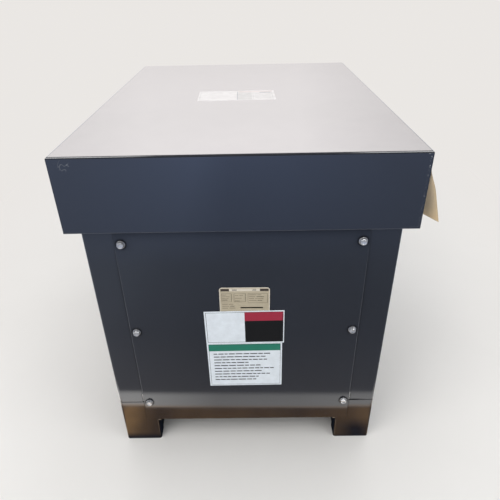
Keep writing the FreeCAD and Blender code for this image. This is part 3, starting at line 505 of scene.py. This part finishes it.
finishes = {
    "enclosure_paint": paint("enclosure enamel", DARK_PAINT, CHIPPED, chipped_cap=True),
    "panel_paint": paint("panel enamel", DARK_PAINT, CHIPPED, edge=1.6, seams=(5.0, 0.86, 0.996),
                         painted_edge_lines=True, screwed=True),
    "frame_paint": paint("frame enamel", DARK_PAINT, CHIPPED, seams=(3.0, 0.45, 0.95), painted_edge_lines=True),
    "inner_steel_paint": paint("inner steel enamel", (0.020, 0.021, 0.023), (0.22, 0.22, 0.22), gloss=0.34,
                               dust=0.5, coat=0.3, peel=0.2),
    "zinc_screws": metal("bright zinc", (0.90, 0.91, 0.93), (0.26, 0.27, 0.29), rough=0.20, scale=300.0,
                         metallic=0.70, tint=0.85, clouds=300.0),
    # Dark zinc of the washer rims: painted shade
    "washer_rims": metal("zinc rim with painted shade", (0.09, 0.09, 0.10), (0.03, 0.03, 0.03), rough=0.5, metallic=0.4),
    "zinc_hardware": metal("zinc plate", (0.56, 0.57, 0.58), (0.34, 0.33, 0.30), rough=0.34),
    "core_steel": layered("varnished laminations", (0.11, 0.11, 0.12), (0.015, 0.014, 0.013), 1.4 * MM, "X"),
    "windings": layered("wound foil and paper", (0.46, 0.33, 0.17), (0.16, 0.09, 0.04), 6.2 * MM, "Z",
                        rough=0.45, metallic=0.15),
    "bus_bar": metal("tinned bar", (0.72, 0.73, 0.74), (0.42, 0.42, 0.42), rough=0.30,
                     grain=(1.0, 0.05, 1.0), scale=500.0),
    "insulation_board": board("varnished pressboard", (0.50, 0.36, 0.20), (0.33, 0.22, 0.11), coat=0.25),
    "terminal_board": board("moulded board", (0.33, 0.055, 0.035), (0.22, 0.035, 0.024), rough=0.42,
                            coat=0.3),
    "isolator_rubber": board("black rubber", (0.018, 0.018, 0.018), (0.034, 0.033, 0.031), rough=0.75,
                             fibre=(1.0, 1.0, 1.0)),
    # A lighter copy of the kraft paper for the back sheet, whose face lies in the cap's shade: painted light
    "kraft_inside": kraft("kraft paper inside with painted light", (1.0, 0.79, 0.50), (0.92, 0.68, 0.40)),
    "kraft_paper": kraft("kraft paper", (0.70, 0.50, 0.31), (0.58, 0.40, 0.235)),
}

# Every node gets the finish of its slot, but the panels and the frame have enamels of their own
finish_of = {part["node"]: part["material_slot"] for part in record["subparts"]}
finish_of.update({name: "panel_paint" for name in ("front_panel", "rear_panel")})
finish_of.update({name: "frame_paint" for name in nodes if name.startswith(("base_channel", "side_panel"))})
for name, node in nodes.items():
    node.data.materials.clear()
    node.data.materials.append(finishes[finish_of[name]])


# Mesh building

def placed(name, data):
    """New object of the data, put into the scene."""
    made = bpy.data.objects.new(name, data)
    bpy.context.scene.collection.objects.link(made)
    return made


def piece(name, bm, materials, sharp_angle=None):
    """Object that rides on the part: flat faces, or smooth ones but for edges past the sharp angle."""
    bmesh.ops.recalc_face_normals(bm, faces=bm.faces)
    mesh = bpy.data.meshes.new(name)
    bm.to_mesh(mesh)
    bm.free()
    for material in materials:
        mesh.materials.append(material)
    if sharp_angle:
        mesh.shade_smooth()
        mesh.set_sharp_from_angle(angle=math.radians(sharp_angle))
    made = placed(name, mesh)
    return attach(made, "root")


def ring(bm, place, radius, height, steps, shape=None):
    """Closed ring of points round the place's own Z, in mm; the shape bends the radius with the angle."""
    points = []
    for index in range(steps):
        angle = 2 * math.pi * index / steps
        reach = radius * (shape(angle) if shape else 1.0)
        point = Vector((reach * math.cos(angle), reach * math.sin(angle), height)) * MM
        points.append(bm.verts.new(place @ point))
    return points


def skin(bm, rings):
    """Faces between rings of equal count, given back in the rings' order, with both ends filled."""
    faces = []
    for inner, outer in zip(rings, rings[1:]):
        for index in range(len(inner)):
            after = (index + 1) % len(inner)
            faces.append(bm.faces.new((inner[index], inner[after], outer[after], outer[index])))
    bm.faces.new(rings[0][::-1])
    bm.faces.new(rings[-1])
    return faces


# Screws of the panels

HEAD_STEPS, THREAD_STEPS = 48, 20
# Profiles as (radius, height over the panel) in mm; the first rings of the washer make its rim, darkened as
# painted shade
WASHER = [(3.0, 0.0), (6.25, 0.0), (6.45, 0.25), (6.48, 0.7), (6.2, 1.05), (5.75, 1.3), (5.62, 1.36)]
RIM_RINGS = 4
HEXAGON = {"flat": 4.72, "foot": 1.5, "shoulder": 4.55, "top": 4.95, "top_share": 0.985}
DISH = [(4.35, 5.3), (3.9, 5.38), (3.5, 5.3), (3.15, 4.9), (2.4, 4.6), (1.2, 4.5), (0.3, 4.48)]
THREAD = {"start": 0.6, "end": -11.5, "pitch": 1.25, "flank": 0.62, "crest": 2.95, "root": 2.5}
TIP = [(2.2, -11.6), (1.4, -12.0)]


def hexagonal(angle):
    """Reach of a hexagon at an angle, for a reach of 1 at the middle of its flats."""
    part = (angle + math.pi / 6) % (math.pi / 3) - math.pi / 6
    return 1.0 / math.cos(part)


def washer_head_screw(bm, place):
    """Hexagon washer head with a dished top and a rim darkened as painted shade, and a threaded shank below.
    """
    rings = [ring(bm, place, radius, height, HEAD_STEPS) for radius, height in WASHER]
    flat = HEXAGON["flat"]
    for level in ("foot", "shoulder"):
        rings.append(ring(bm, place, flat, HEXAGON[level], HEAD_STEPS, hexagonal))
    rings.append(ring(bm, place, flat * HEXAGON["top_share"], HEXAGON["top"], HEAD_STEPS,
                      lambda angle: 0.5 + 0.5 * hexagonal(angle)))
    rings += [ring(bm, place, radius, height, HEAD_STEPS) for radius, height in DISH]
    # Painted shade: the rim's faces take the darker zinc
    for face in skin(bm, rings)[:RIM_RINGS * HEAD_STEPS]:
        face.material_index = 1
    shank = []
    level = THREAD["start"]
    while level > THREAD["end"]:
        shank += [(THREAD["crest"], level), (THREAD["root"], level - THREAD["flank"])]
        level -= THREAD["pitch"]
    skin(bm, [ring(bm, place, radius, height, THREAD_STEPS) for radius, height in shank + TIP])


def panel_screw_heads():
    """The screws of both panels, each turned by chance about its own axis."""
    bm = bmesh.new()
    for x, low_y, high_y, z in screws_at:
        in_front = low_y + high_y < 0
        seat = Vector((x, front_face if in_front else rear_face, z))
        turn = Matrix.Rotation(math.radians(90 if in_front else -90), 4, "X")
        spin = Matrix.Rotation(random.uniform(0, math.pi / 3), 4, "Z")
        washer_head_screw(bm, Matrix.Translation(seat) @ turn @ spin)
    return piece("panel_screw_heads", bm, [finishes["zinc_screws"], finishes["washer_rims"]],
                 sharp_angle=28.0)


screw_heads = panel_screw_heads()
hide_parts("panel_screws")


# Paper envelope

# In mm: its flat size, its place on the cap's side, and the corner that the curl line cuts off
ENVELOPE = {"length": 241.0, "height": 105.0, "front_inset": 1.5, "bottom_inset": 0.3, "seat": 0.1,
            "curl_length": 64.0, "curl_height": 88.0, "flap": 36.0}
LEAN = {"steep": 44.0, "steep_run": 6.0, "ease": 16.5, "ease_start": 15.0, "ease_run": 11.0}
CURL_STEP = 0.25
CURL_STEPS = 400
# Levels of the back sheet, the front sheet and the pasted flap over the cap's side
SHEETS = {"back": (0.0, 0.30), "front": (0.36, 0.62), "flap": (0.62, 0.80)}
RIM_SHARE = 0.7


def lean(distance):
    """Angle at which the paper stands off the cap past the curl line: steep at first, then easing."""
    rise = min(max(distance / LEAN["steep_run"], 0.0), 1.0)
    ease = min(max((distance - LEAN["ease_start"]) / LEAN["ease_run"], 0.0), 1.0)
    return math.radians(LEAN["steep"] * rise - LEAN["ease"] * ease)


def curl_path():
    """How far the paper has gone along the cap and out from it at each step past the curl line."""
    path = [(0.0, 0.0)]
    for index in range(CURL_STEPS):
        angle = lean((index + 0.5) * CURL_STEP)
        run, out = path[-1]
        path.append((run + CURL_STEP * math.cos(angle), out + CURL_STEP * math.sin(angle)))
    return path


curl = curl_path()
paper_front = cap_low.y / MM + ENVELOPE["front_inset"]
paper_low = cap_low.z / MM + ENVELOPE["bottom_inset"]
paper_face = cap_high.x / MM + ENVELOPE["seat"]
curl_line = math.hypot(ENVELOPE["curl_length"], ENVELOPE["curl_height"])
across = (-ENVELOPE["curl_height"] / curl_line, -ENVELOPE["curl_length"] / curl_line)
upward = (-ENVELOPE["curl_length"] / curl_line, ENVELOPE["curl_height"] / curl_line)


def curled(distance):
    """How far a point past the curl line goes along the cap and out from it, and how it leans."""
    if distance <= 0:
        return distance, 0.0, 0.0
    step = int(distance / CURL_STEP)
    share = distance / CURL_STEP - step
    (run, out), (next_run, next_out) = curl[step:step + 2]
    return run + share * (next_run - run), out + share * (next_out - out), lean(distance)


def on_paper(along, up, lift):
    """Place in the model of a point of the flat envelope, lifted off its inner face."""
    dy, dz = along - ENVELOPE["curl_length"], up
    distance = dy * across[0] + dz * across[1]
    height = dy * upward[0] + dz * upward[1]
    run, out, slope = curled(distance)
    run -= lift * math.sin(slope)
    out += lift * math.cos(slope)
    return Vector((paper_face + out,
                   paper_front + ENVELOPE["curl_length"] + run * across[0] + height * upward[0],
                   paper_low + run * across[1] + height * upward[1])) * MM


def paper_sheet(bm, sheet, start, end, low, high, rows, side, columns=90):
    """Closed sheet of paper along and up the flat envelope, a little thinner at its rim."""
    inner, outer = SHEETS[sheet]
    middle = (inner + outer) / 2
    grids, faces = [], []
    for lift in (inner, outer):
        grid = []
        for i in range(columns + 1):
            along = start + (end - start) * i / columns
            column = []
            for j in range(rows + 1):
                inside = min(i, columns - i, j, rows - j) > 0
                level = lift if inside else middle + (lift - middle) * RIM_SHARE
                column.append(bm.verts.new(on_paper(along, low + (high - low) * (j / rows), level)))
            grid.append(column)
        grids.append(grid)
    for grid, flip in zip(grids, (False, True)):
        for i in range(columns):
            for j in range(rows):
                corners = (grid[i][j], grid[i + 1][j], grid[i + 1][j + 1], grid[i][j + 1])
                faces.append(bm.faces.new(corners[::-1] if flip else corners))
    rim = [(i, 0) for i in range(columns)] + [(columns, j) for j in range(rows)]
    rim += [(i, rows) for i in range(columns, 0, -1)] + [(0, j) for j in range(rows, 0, -1)]
    for (i, j), (k, m) in zip(rim, rim[1:] + rim[:1]):
        faces.append(bm.faces.new((grids[0][i][j], grids[0][k][m], grids[1][k][m], grids[1][i][j])))
    for face in faces:
        face.material_index = side


def paper_envelope():
    """Back sheet against the cap, a slightly smaller front sheet, and the pasted flap on the upper edge."""
    bm = bmesh.new()
    length, tall = ENVELOPE["length"], ENVELOPE["height"]
    paper_sheet(bm, "back", 0.0, length, 0.0, tall, rows=40, side=0)
    paper_sheet(bm, "front", 0.9, length - 0.6, 0.5, tall - 0.4, rows=40, side=1)
    paper_sheet(bm, "flap", 2.0, length - 2.0, tall - ENVELOPE["flap"], tall - 0.6, rows=16, side=1)
    return piece("paper_envelope", bm, [finishes["kraft_inside"], finishes["kraft_paper"]], sharp_angle=40.0)


envelope = paper_envelope()
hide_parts("document_envelope")


# Labels

# Their fields are (x0, y0, x1, y1, print[, corner radius]) in mm from the middle, and carry no lettering
prints = {
    "white": print_film("white film", (0.775, 0.835, 0.90)),
    # A darker copy of the white film for the roof, which takes more light: painted shade
    "roof_white": print_film("sunlit film", (0.515, 0.503, 0.498)),
    "black": print_film("black print", (0.009, 0.009, 0.010), speckle=0.02, coat=0.0, shine=0.25),
    "ink": print_film("ink", (0.035, 0.037, 0.045), speckle=0.02, coat=0.0, shine=0.25),
    "red": print_film("red print", (0.36, 0.016, 0.045), speckle=0.03),
    "green": print_film("green print", (0.012, 0.20, 0.13), speckle=0.03),
    "grey": print_film("grey print", (0.20, 0.21, 0.24)),
    "roof_grey": print_film("faded print", (0.40, 0.395, 0.39)),
    "rose": print_film("rose print", (0.46, 0.40, 0.39)),
    "plate": metal("brushed plate", (0.60, 0.525, 0.38), (0.48, 0.405, 0.28), rough=0.42, metallic=0.35,
                   grain=(0.08, 1.0, 1.0), scale=420.0, tint=0.35),
    "plate_dark": print_film("etched print", (0.060, 0.045, 0.035)),
    "plate_pale": print_film("clear etching", (0.72, 0.66, 0.56)),
    "plate_mid": print_film("faint etching", (0.24, 0.19, 0.13)),
}
PRINT_ORDER = list(prints)
CORNER_STEPS = 6
# A field starts inside the base and rises by the first height and a step for each of the layers, in turn
FIELD_ROOT, FIELD_RISE, LAYER_STEP, LAYERS = 0.004, 0.010, 0.004, 4


def rounded_outline(x0, y0, x1, y1, radius=0.0):
    """Corner points of a rectangle, with round corners where a radius is given."""
    if radius <= 0:
        return [(x0, y0), (x1, y0), (x1, y1), (x0, y1)]
    points = []
    for cx, cy, start in ((x1 - radius, y0 + radius, -90), (x1 - radius, y1 - radius, 0),
                          (x0 + radius, y1 - radius, 90), (x0 + radius, y0 + radius, 180)):
        for step in range(CORNER_STEPS + 1):
            angle = math.radians(start + 90 * step / CORNER_STEPS)
            points.append((cx + radius * math.cos(angle), cy + radius * math.sin(angle)))
    return points


def slab(bm, place, outline, low, high, material):
    """Thin prism of the outline between two levels over the face."""
    lower, upper = ([bm.verts.new(place @ (Vector((x, y, level)) * MM)) for x, y in outline]
                    for level in (low, high))
    faces = [bm.faces.new(lower[::-1]), bm.faces.new(upper)]
    for index in range(len(outline)):
        after = (index + 1) % len(outline)
        faces.append(bm.faces.new((lower[index], lower[after], upper[after], upper[index])))
    for face in faces:
        face.material_index = PRINT_ORDER.index(material)


def label(name, place, width, height, base, fields, corner=0.0, low=0.0, thickness=0.12):
    """Label with its middle on the place: a base and printed fields."""
    bm = bmesh.new()
    top = low + thickness
    slab(bm, place, rounded_outline(-width / 2, -height / 2, width / 2, height / 2, corner), low, top, base)
    for layer, (x0, y0, x1, y1, material, *rounding) in enumerate(fields):
        rise = FIELD_RISE + LAYER_STEP * (layer % LAYERS)
        slab(bm, place, rounded_outline(x0, y0, x1, y1, *rounding), top - FIELD_ROOT, top + rise, material)
    made = piece(name, bm, [prints[key] for key in PRINT_ORDER])


def frame_lines(x0, y0, x1, y1, width, material):
    """Four thin lines round a rectangle."""
    return [(x0, y0, x1, y0 + width, material), (x0, y1 - width, x1, y1, material),
            (x0, y0 + width, x0 + width, y1 - width, material),
            (x1 - width, y0 + width, x1, y1 - width, material)]


def bars(x0, x1, top, pitch, height, count, material, fill=(0.55, 1.0)):
    """Plain rows of short bars, each row broken into a few pieces."""
    shortest, run_range, space = 4.0, (5.0, 13.0), 1.6
    made = []
    for row in range(count):
        y = top - row * pitch
        end = x0 + (x1 - x0) * random.uniform(*fill)
        x = x0
        while x < end - shortest:
            run = min(random.uniform(*run_range), end - x)
            made.append((x, y - height, x + run, y, material))
            x += run + space
    return made


def on_front(x, z, tilt):
    """Place on the front panel, in mm, with X to the right, Y up and Z out of the panel."""
    turn = Matrix(((1, 0, 0, 0), (0, 0, -1, 0), (0, 1, 0, 0), (0, 0, 0, 1)))
    spin = Matrix.Rotation(math.radians(tilt), 4, "Z")
    return Matrix.Translation((x * MM, front_face, z * MM)) @ turn @ spin


def nameplate():
    """Tan plate with a pale rim, a heading between dark ends, three framed boxes and rows of etched bars."""
    fields = [(-37.6, -26.8, 37.6, 26.8, "plate", 3.6),
              (-36.6, 21.3, -23.5, 25.7, "plate_dark"), (-23.5, 21.3, 23.5, 25.7, "plate_pale"),
              (23.5, 21.3, 36.8, 25.7, "plate_dark"), (-6.5, -11.6, 28.4, -9.2, "plate_dark")]
    for x0, y0, x1 in ((-35.5, 1.0, -20.0), (-16.5, 1.0, 1.5), (5.0, -1.0, 35.5)):
        fields += frame_lines(x0, y0, x1, 17.0, 0.5, "plate_mid")
    fields += bars(6.5, 34.0, 14.8, 3.6, 0.9, 4, "plate_mid", fill=(0.8, 1.0))
    fields += bars(-34.5, -21.0, 14.6, 3.2, 0.8, 4, "plate_mid", fill=(0.8, 1.0))
    fields += bars(-15.0, 0.5, 13.6, 5.2, 0.8, 3, "plate_mid", fill=(0.7, 1.0))
    fields += bars(-35.0, -9.0, -3.0, 3.8, 1.0, 3, "plate_mid", fill=(0.5, 1.0))
    fields += bars(-19.0, 19.0, 24.3, 3.0, 1.5, 1, "plate_dark", fill=(0.9, 1.0))
    label("nameplate", on_front(2.0, 324.6, -0.4), 77.7, 56.0, "plate_pale", fields, corner=4.8,
          thickness=0.35)


def upper_label():
    """White label, its right half black under a red field."""
    fields = frame_lines(-61.0, -31.0, 61.0, 31.0, 0.6, "ink")
    fields += [(0.5, -31.2, 62.0, 13.2, "black"), (0.5, 13.2, 62.0, 31.2, "red")]
    label("upper_label", on_front(0.8, 274.2, 0.5), 127.0, 67.0, "white", fields, low=0.40)


def lower_label():
    """White label with a green head and rows of bars."""
    fields = frame_lines(-59.5, -46.0, 59.5, 46.0, 0.55, "ink")
    fields += [(-59.5, 32.0, 59.5, 47.0, "green")]
    fields += bars(-52.0, 54.0, 26.5, 6.6, 2.0, 10, "ink")
    label("lower_label", on_front(0.0, 191.6, 0.4), 124.0, 97.0, "white", fields)


def roof_label():
    """Faded label on the cap's roof: an empty frame at the left, pale fields and a boxed list beside it."""
    turn = Matrix.Rotation(math.radians(1.0), 4, "Z")
    place = Matrix.Translation((-9.5 * MM, -6.5 * MM, cap_high.z)) @ turn
    fields = frame_lines(-67.5, -34.5, 1.0, 34.5, 0.8, "roof_grey") + [(0.2, -34.5, 2.4, 30.0, "grey")]
    fields += [(3.0, 24.0, 67.5, 34.5, "rose"), (3.0, -34.5, 28.0, 24.0, "roof_grey")]
    fields += frame_lines(29.5, -32.0, 66.5, 22.0, 1.6, "roof_grey") + [(43.0, 18.0, 64.0, 24.0, "grey")]
    fields += [(33.0, 12.0 - 9.0 * row, 63.0, 15.5 - 9.0 * row, "roof_grey") for row in range(5)]
    label("roof_label", place, 141.0, 77.0, "roof_white", fields, low=-0.06, thickness=0.08)


nameplate()
upper_label()
lower_label()
roof_label()


# Floor

FLOOR_REACH = 14.0
EVEN_TONE = (0.825, 0.800, 0.775)
# Mirrored, in metres from the body: a dark gap, brown boards, a pale strip, and the tones farther off.
# Boards and strip are lit unevenly along X
BOARD_END = (0.0735, 0.0765)
STRIP_END = (0.1125, 0.116)
DARK_GAP = (0.03, 0.028, 0.026)
BOARD = (1.0, 0.58, 0.23)
STRIP_TONES = ((0.99, 0.96, 0.93), (0.94, 0.93, 0.91))
FAR_TONES = [(STRIP_END[1], (0.26, 0.25, 0.25)), (0.30, (0.20, 0.21, 0.235)), (0.60, (0.23, 0.26, 0.32)),
             (0.84, (0.31, 0.38, 0.56)), (1.20, (0.38, 0.48, 0.74)), (1.62, (0.46, 0.58, 0.92)),
             (3.0, (0.60, 0.70, 0.95))]
BOARD_LIGHT = [(-0.265, 0.5), (-0.245, 1.2), (-0.225, 1.0), (-0.205, 0.45), (-0.18, 0.25), (-0.13, 0.47),
               (0.11, 0.34), (0.21, 0.42), (0.24, 0.78), (0.265, 0.45)]
STRIP_LIGHT = [(-0.24, 1.95), (-0.06, 1.0), (0.11, 1.05), (0.25, 1.3)]
# The bands lie a little askew: nearer by this share of the way to the right of the centre
SKEW, SKEW_CENTRE = 0.018, -0.10
# Tones of the boards beside and behind the part, and of what lies far to the sides
SIDE_BOARD = (0.24, 0.225, 0.21)
SIDE_TONE = (0.24, 0.26, 0.30)


def mirrored_color(r, reach_x, reach_y, skewed):
    """Colours of the mirrored floor; the boards are brown only in front of the part."""
    x, y = r.axes[:2]
    near_tones = [(0.0, DARK_GAP), (0.001, DARK_GAP), (0.004, scaled(BOARD, 0.8)), (0.012, BOARD),
                  (BOARD_END[0], BOARD), (BOARD_END[1], STRIP_TONES[0]), (STRIP_END[0], STRIP_TONES[1])]
    seen = r.ramp(skewed, near_tones + FAR_TONES)
    in_front = r.times(r.between(r.minus(reach_y, reach_x), -0.020, -0.008), r.below(y, -0.2, 0.0))
    plain = r.times(r.minus(1.0, in_front), r.between(skewed, *BOARD_END, 0.85, 0.0))
    seen = r.mix(plain, seen, SIDE_BOARD)
    sideways = r.between(r.absolute(r.plus(x, 0.05)), 0.2, 0.75, 0.0, 0.45)
    return r.mix(sideways, seen, SIDE_TONE)


def mirrored_light(r, reach, skewed):
    """Light of the mirrored floor: uneven over boards and strip, and a little brighter to the left."""
    x = r.axes["X"]
    darker = r.times(r.between(x, 0.165, 0.205, 0.0, -1.0), r.between(reach, 0.018, 0.044, 0.9, 0.0),
                     r.between(x, 0.214, 0.234, 1.0, 0.65))
    patches = r.between(r.noise(17.0, 3.0, 0.5, shift=2.0), 0.36, 0.64, 0.80, 1.12)
    boards = r.times(r.profile(x, BOARD_LIGHT), r.plus(darker, 1.0), patches)
    glow = r.times(r.between(x, -0.36, -0.25, 0.34, 0.0), r.between(reach, 0.12, 0.18),
                   r.below(reach, 0.55, 0.85))
    beyond = r.plus(glow, r.between(x, -0.24, -0.08, 1.25, 1.0))
    level = r.mix(r.between(skewed, *STRIP_END), r.profile(x, STRIP_LIGHT), beyond)
    return r.mix(r.between(skewed, *BOARD_END), boards, level)


def floor_material():
    """Pale floor: lit close to the part, an even tone away from it, and darker where it is mirrored."""
    r = material_recipe("pale floor")
    x, y = r.axes[:2]
    reach_x = r.minus(r.absolute(x), half_width)
    reach_y = r.minus(r.absolute(y), half_depth)
    reach = r.larger(reach_x, reach_y)
    skewed = r.plus(reach, r.times(r.minus(x, SKEW_CENTRE), SKEW))
    shade = r.mix(r.between(r.noise(2.0, 4.0), 0.35, 0.7), (0.80, 0.78, 0.755), (0.77, 0.75, 0.725))
    lit = r.node("BsdfPrincipled", Base_Color=shade, Roughness=0.75,
                 Normal=r.bump(r.noise(160.0, 3.0), 0.05, 0.3 * MM))
    even = r.node("Emission", Color=EVEN_TONE, Strength=1.0)
    mirrored = r.node("Emission", Color=mirrored_color(r, reach_x, reach_y, skewed),
                      Strength=mirrored_light(r, reach, skewed))
    seen = r.mix(r.between(reach, 0.25, 0.75), lit.outputs[0], even.outputs[0], "MixShader")
    glossy = r.node("LightPath").outputs["Is Glossy Ray"]
    return r.show(r.mix(glossy, seen, mirrored.outputs[0], "MixShader"))


floor_mesh = bpy.data.meshes.new("floor")
floor_mesh.from_pydata([(-FLOOR_REACH, -FLOOR_REACH, 0), (FLOOR_REACH, -FLOOR_REACH, 0),
                        (FLOOR_REACH, FLOOR_REACH, 0), (-FLOOR_REACH, FLOOR_REACH, 0)], [], [(0, 1, 2, 3)])
floor_mesh.materials.append(floor_material())
placed("floor", floor_mesh)


# Surroundings and lights

SKY_LIGHT = 3.30
SKY_BY_HEIGHT = [(0.0, 0.23), (0.10, 0.26), (0.17, 0.35), (0.26, 0.51), (0.36, 0.78), (0.50, 1.0),
                 (0.66, 0.80), (0.80, 0.22), (1.0, 0.14)]


def room():
    """Even light all round, a sky dimmed by direction for the paint to mirror, and a pale backdrop."""
    world = bpy.data.worlds.new("soft room")
    bpy.context.scene.world = world
    r = Recipe(world, "OutputWorld")
    east, north, up = r.split(r.node("TexCoord").outputs["Generated"])
    sky = r.ramp(up, [(height, (light, 0.955 * light, 0.95 * light)) for height, light in SKY_BY_HEIGHT])
    far_front = r.between(north, -0.86, -0.72, 0.12, 1.0)
    front = r.between(north, -0.35, 0.05, 0.30, 1.0)
    left = r.between(east, -0.42, -0.22, 0.87, 1.0)
    right = r.between(east, 0.10, 0.42, 1.0, 0.72)
    dimming = r.times(far_front, left, right, front)
    # Two lamps overhead, which only the bends near the cap's corners mirror
    lamps = r.times(r.between(r.absolute(east), 0.20, 0.26, 0.0, 2.0), r.between(up, 0.50, 0.60),
                    r.between(north, -0.66, -0.50), r.below(north, -0.20, -0.05))
    mirrored = r.vector("ADD", r.vector("SCALE", sky, dimming, "Scale"), lamps)
    around = r.node("Background", Color=(0.96, 0.98, 1.0), Strength=0.62)
    glossy = r.node("Background", Color=mirrored, Strength=SKY_LIGHT)
    backdrop = r.node("Background", Color=EVEN_TONE)
    path = r.node("LightPath")
    lighting = r.mix(path.outputs["Is Glossy Ray"], around.outputs[0], glossy.outputs[0], "MixShader")
    r.show(r.mix(path.outputs["Is Camera Ray"], lighting, backdrop.outputs[0], "MixShader"))


def soft_light(name, place, target, side, power, color):
    """Square area light aimed at the target; no glossy surface mirrors it."""
    lamp = bpy.data.lights.new(name, "AREA")
    lamp.size = side
    lamp.energy = power
    lamp.color = color
    made = placed(name, lamp)
    made.location = place
    made.rotation_euler = (Vector(target) - Vector(place)).to_track_quat("-Z", "Y").to_euler()
    made.visible_glossy = False


room()
soft_light("key", (-1.6, -1.7, 2.4), (0, 0, 0.3), 1.8, 34.0, (1.0, 0.985, 0.96))
soft_light("fill", (1.9, -1.2, 1.6), (0, 0, 0.3), 1.8, 16.0, (0.95, 0.98, 1.0))
soft_light("over", (0.0, 0.6, 2.8), (0, 0, 0.4), 2.4, 26.0, (1.0, 1.0, 1.0))


# Camera, solved from the straight edges of the photograph: place in mm, turns in radians, the rest in pixels

CAMERA = {"place": (15.05, -882.06, 764.04), "pitch": 0.5364, "yaw": 0.0120, "roll": -0.0213,
          "focal": 461.04, "centre": (247.5, 246.04), "picture": 500.0}


def photo_camera():
    data = bpy.data.cameras.new("camera")
    picture = CAMERA["picture"]
    data.sensor_width = 36.0
    data.lens = CAMERA["focal"] / picture * data.sensor_width
    data.shift_x = (picture / 2 - CAMERA["centre"][0]) / picture
    data.shift_y = (CAMERA["centre"][1] - picture / 2) / picture
    data.clip_start = 0.01
    yaw, pitch, roll = CAMERA["yaw"], CAMERA["pitch"], CAMERA["roll"]
    level = Vector((-math.sin(yaw), math.cos(yaw), 0))
    forward = level * math.cos(pitch) - Vector((0, 0, math.sin(pitch)))
    right = Vector((math.cos(yaw), math.sin(yaw), 0))
    above = level * math.sin(pitch) + Vector((0, 0, math.cos(pitch)))
    right, above = (right * math.cos(roll) + above * math.sin(roll),
                    above * math.cos(roll) - right * math.sin(roll))
    turn = Matrix((right, above, -forward)).transposed().to_4x4()
    made = placed("camera", data)
    made.matrix_world = Matrix.Translation(Vector(CAMERA["place"]) * MM) @ turn
    return made


camera = photo_camera()
bpy.context.scene.camera = camera
bpy.context.scene.view_settings.view_transform = "Standard"
